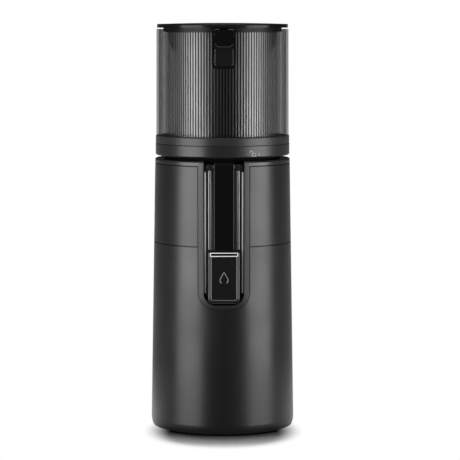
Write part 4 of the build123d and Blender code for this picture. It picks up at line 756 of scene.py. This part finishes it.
# %% Lamps and world
AIM = Vector((0, 0, 0.22))  # the boxes face the middle of the juicer
ROOM_LEVEL = 0.05  # strength of the dark room
BEHIND = (0.8, 1.0)  # directions along Y between which the mirrored room turns white


def soft_box(name, bearing, distance, height, width, tall, power):
    """An area lamp that faces the juicer. Bearing is in degrees from the camera's side, lengths in metres."""
    lamp = bpy.data.lights.new(name, "AREA")
    lamp.shape = "RECTANGLE"
    lamp.size = width
    lamp.size_y = tall
    lamp.energy = power
    box = bpy.data.objects.new(name, lamp)
    angle = radians(bearing - 90)
    box.location = (distance * cos(angle), distance * sin(angle), height)
    box.rotation_euler = (AIM - box.location).to_track_quat("-Z", "Y").to_euler()
    bpy.context.scene.collection.objects.link(box)
    print(name, "gives", power, "W")


soft_box("soft_box_left", bearing=-56, distance=1.5, height=0.18, width=1.13, tall=0.66, power=15)
soft_box("soft_box_right", bearing=61, distance=1.5, height=0.18, width=1.13, tall=0.66, power=14.5)
soft_box("soft_box_top", bearing=0, distance=0.1, height=2.0, width=1.2, tall=1.2, power=13)

world = bpy.data.worlds.new("studio")
bpy.context.scene.world = world
world.use_nodes = True
tree = world.node_tree
gaze = add_node(tree, "ShaderNodeTexCoord").outputs["Generated"]
direction = add_node(tree, "ShaderNodeSeparateXYZ", _0=gaze).outputs
behind = map_range(tree, direction["Y"], *BEHIND, to_high=MIRRORED_WHITE, smooth=True)
low_down = arithmetic(tree, "LESS_THAN", direction["Z"], 0.0)
rays = add_node(tree, "ShaderNodeLightPath").outputs
white = seen_white(tree, rays, arithmetic(tree, "MULTIPLY", behind, low_down))
background = tree.nodes["Background"]
background.inputs["Color"].default_value = linear("#ffffff")
plug(tree, background, Strength=map_range(tree, white, 0.0, 1.0, to_low=ROOM_LEVEL))

# %% [markdown]
# ## Camera
# A long lens stands far back and a little above the lid, and looks down by five degrees, which keeps the
# sides of the body almost parallel. The juicer stands slightly left of the middle of the frame, which a
# small lens shift does without turning the camera.

# %% Camera
LENS, SENSOR = 174.6, 36  # focal length and width of the sensor, in millimetres
SIDE_SHIFT = 0.0163  # share of the frame's width
DISTANCE, HEIGHT = 2.440, 0.446  # metres from the axis and above the table
BEARING, DIP = radians(-1.2), radians(5.418)  # from the front, and down from the horizon
camera_data = bpy.data.cameras.new("camera")
camera_data.lens = LENS
camera_data.sensor_width = SENSOR
camera_data.shift_x = SIDE_SHIFT
camera = bpy.data.objects.new("camera", camera_data)
camera.location = (DISTANCE * sin(BEARING), -DISTANCE * cos(BEARING), HEIGHT)
camera.rotation_euler = (radians(90) - DIP, 0, BEARING)
bpy.context.scene.collection.objects.link(camera)
bpy.context.scene.camera = camera
bpy.context.scene.view_settings.view_transform = "Standard"
print("camera", DISTANCE, "m away, lens", LENS, "mm")
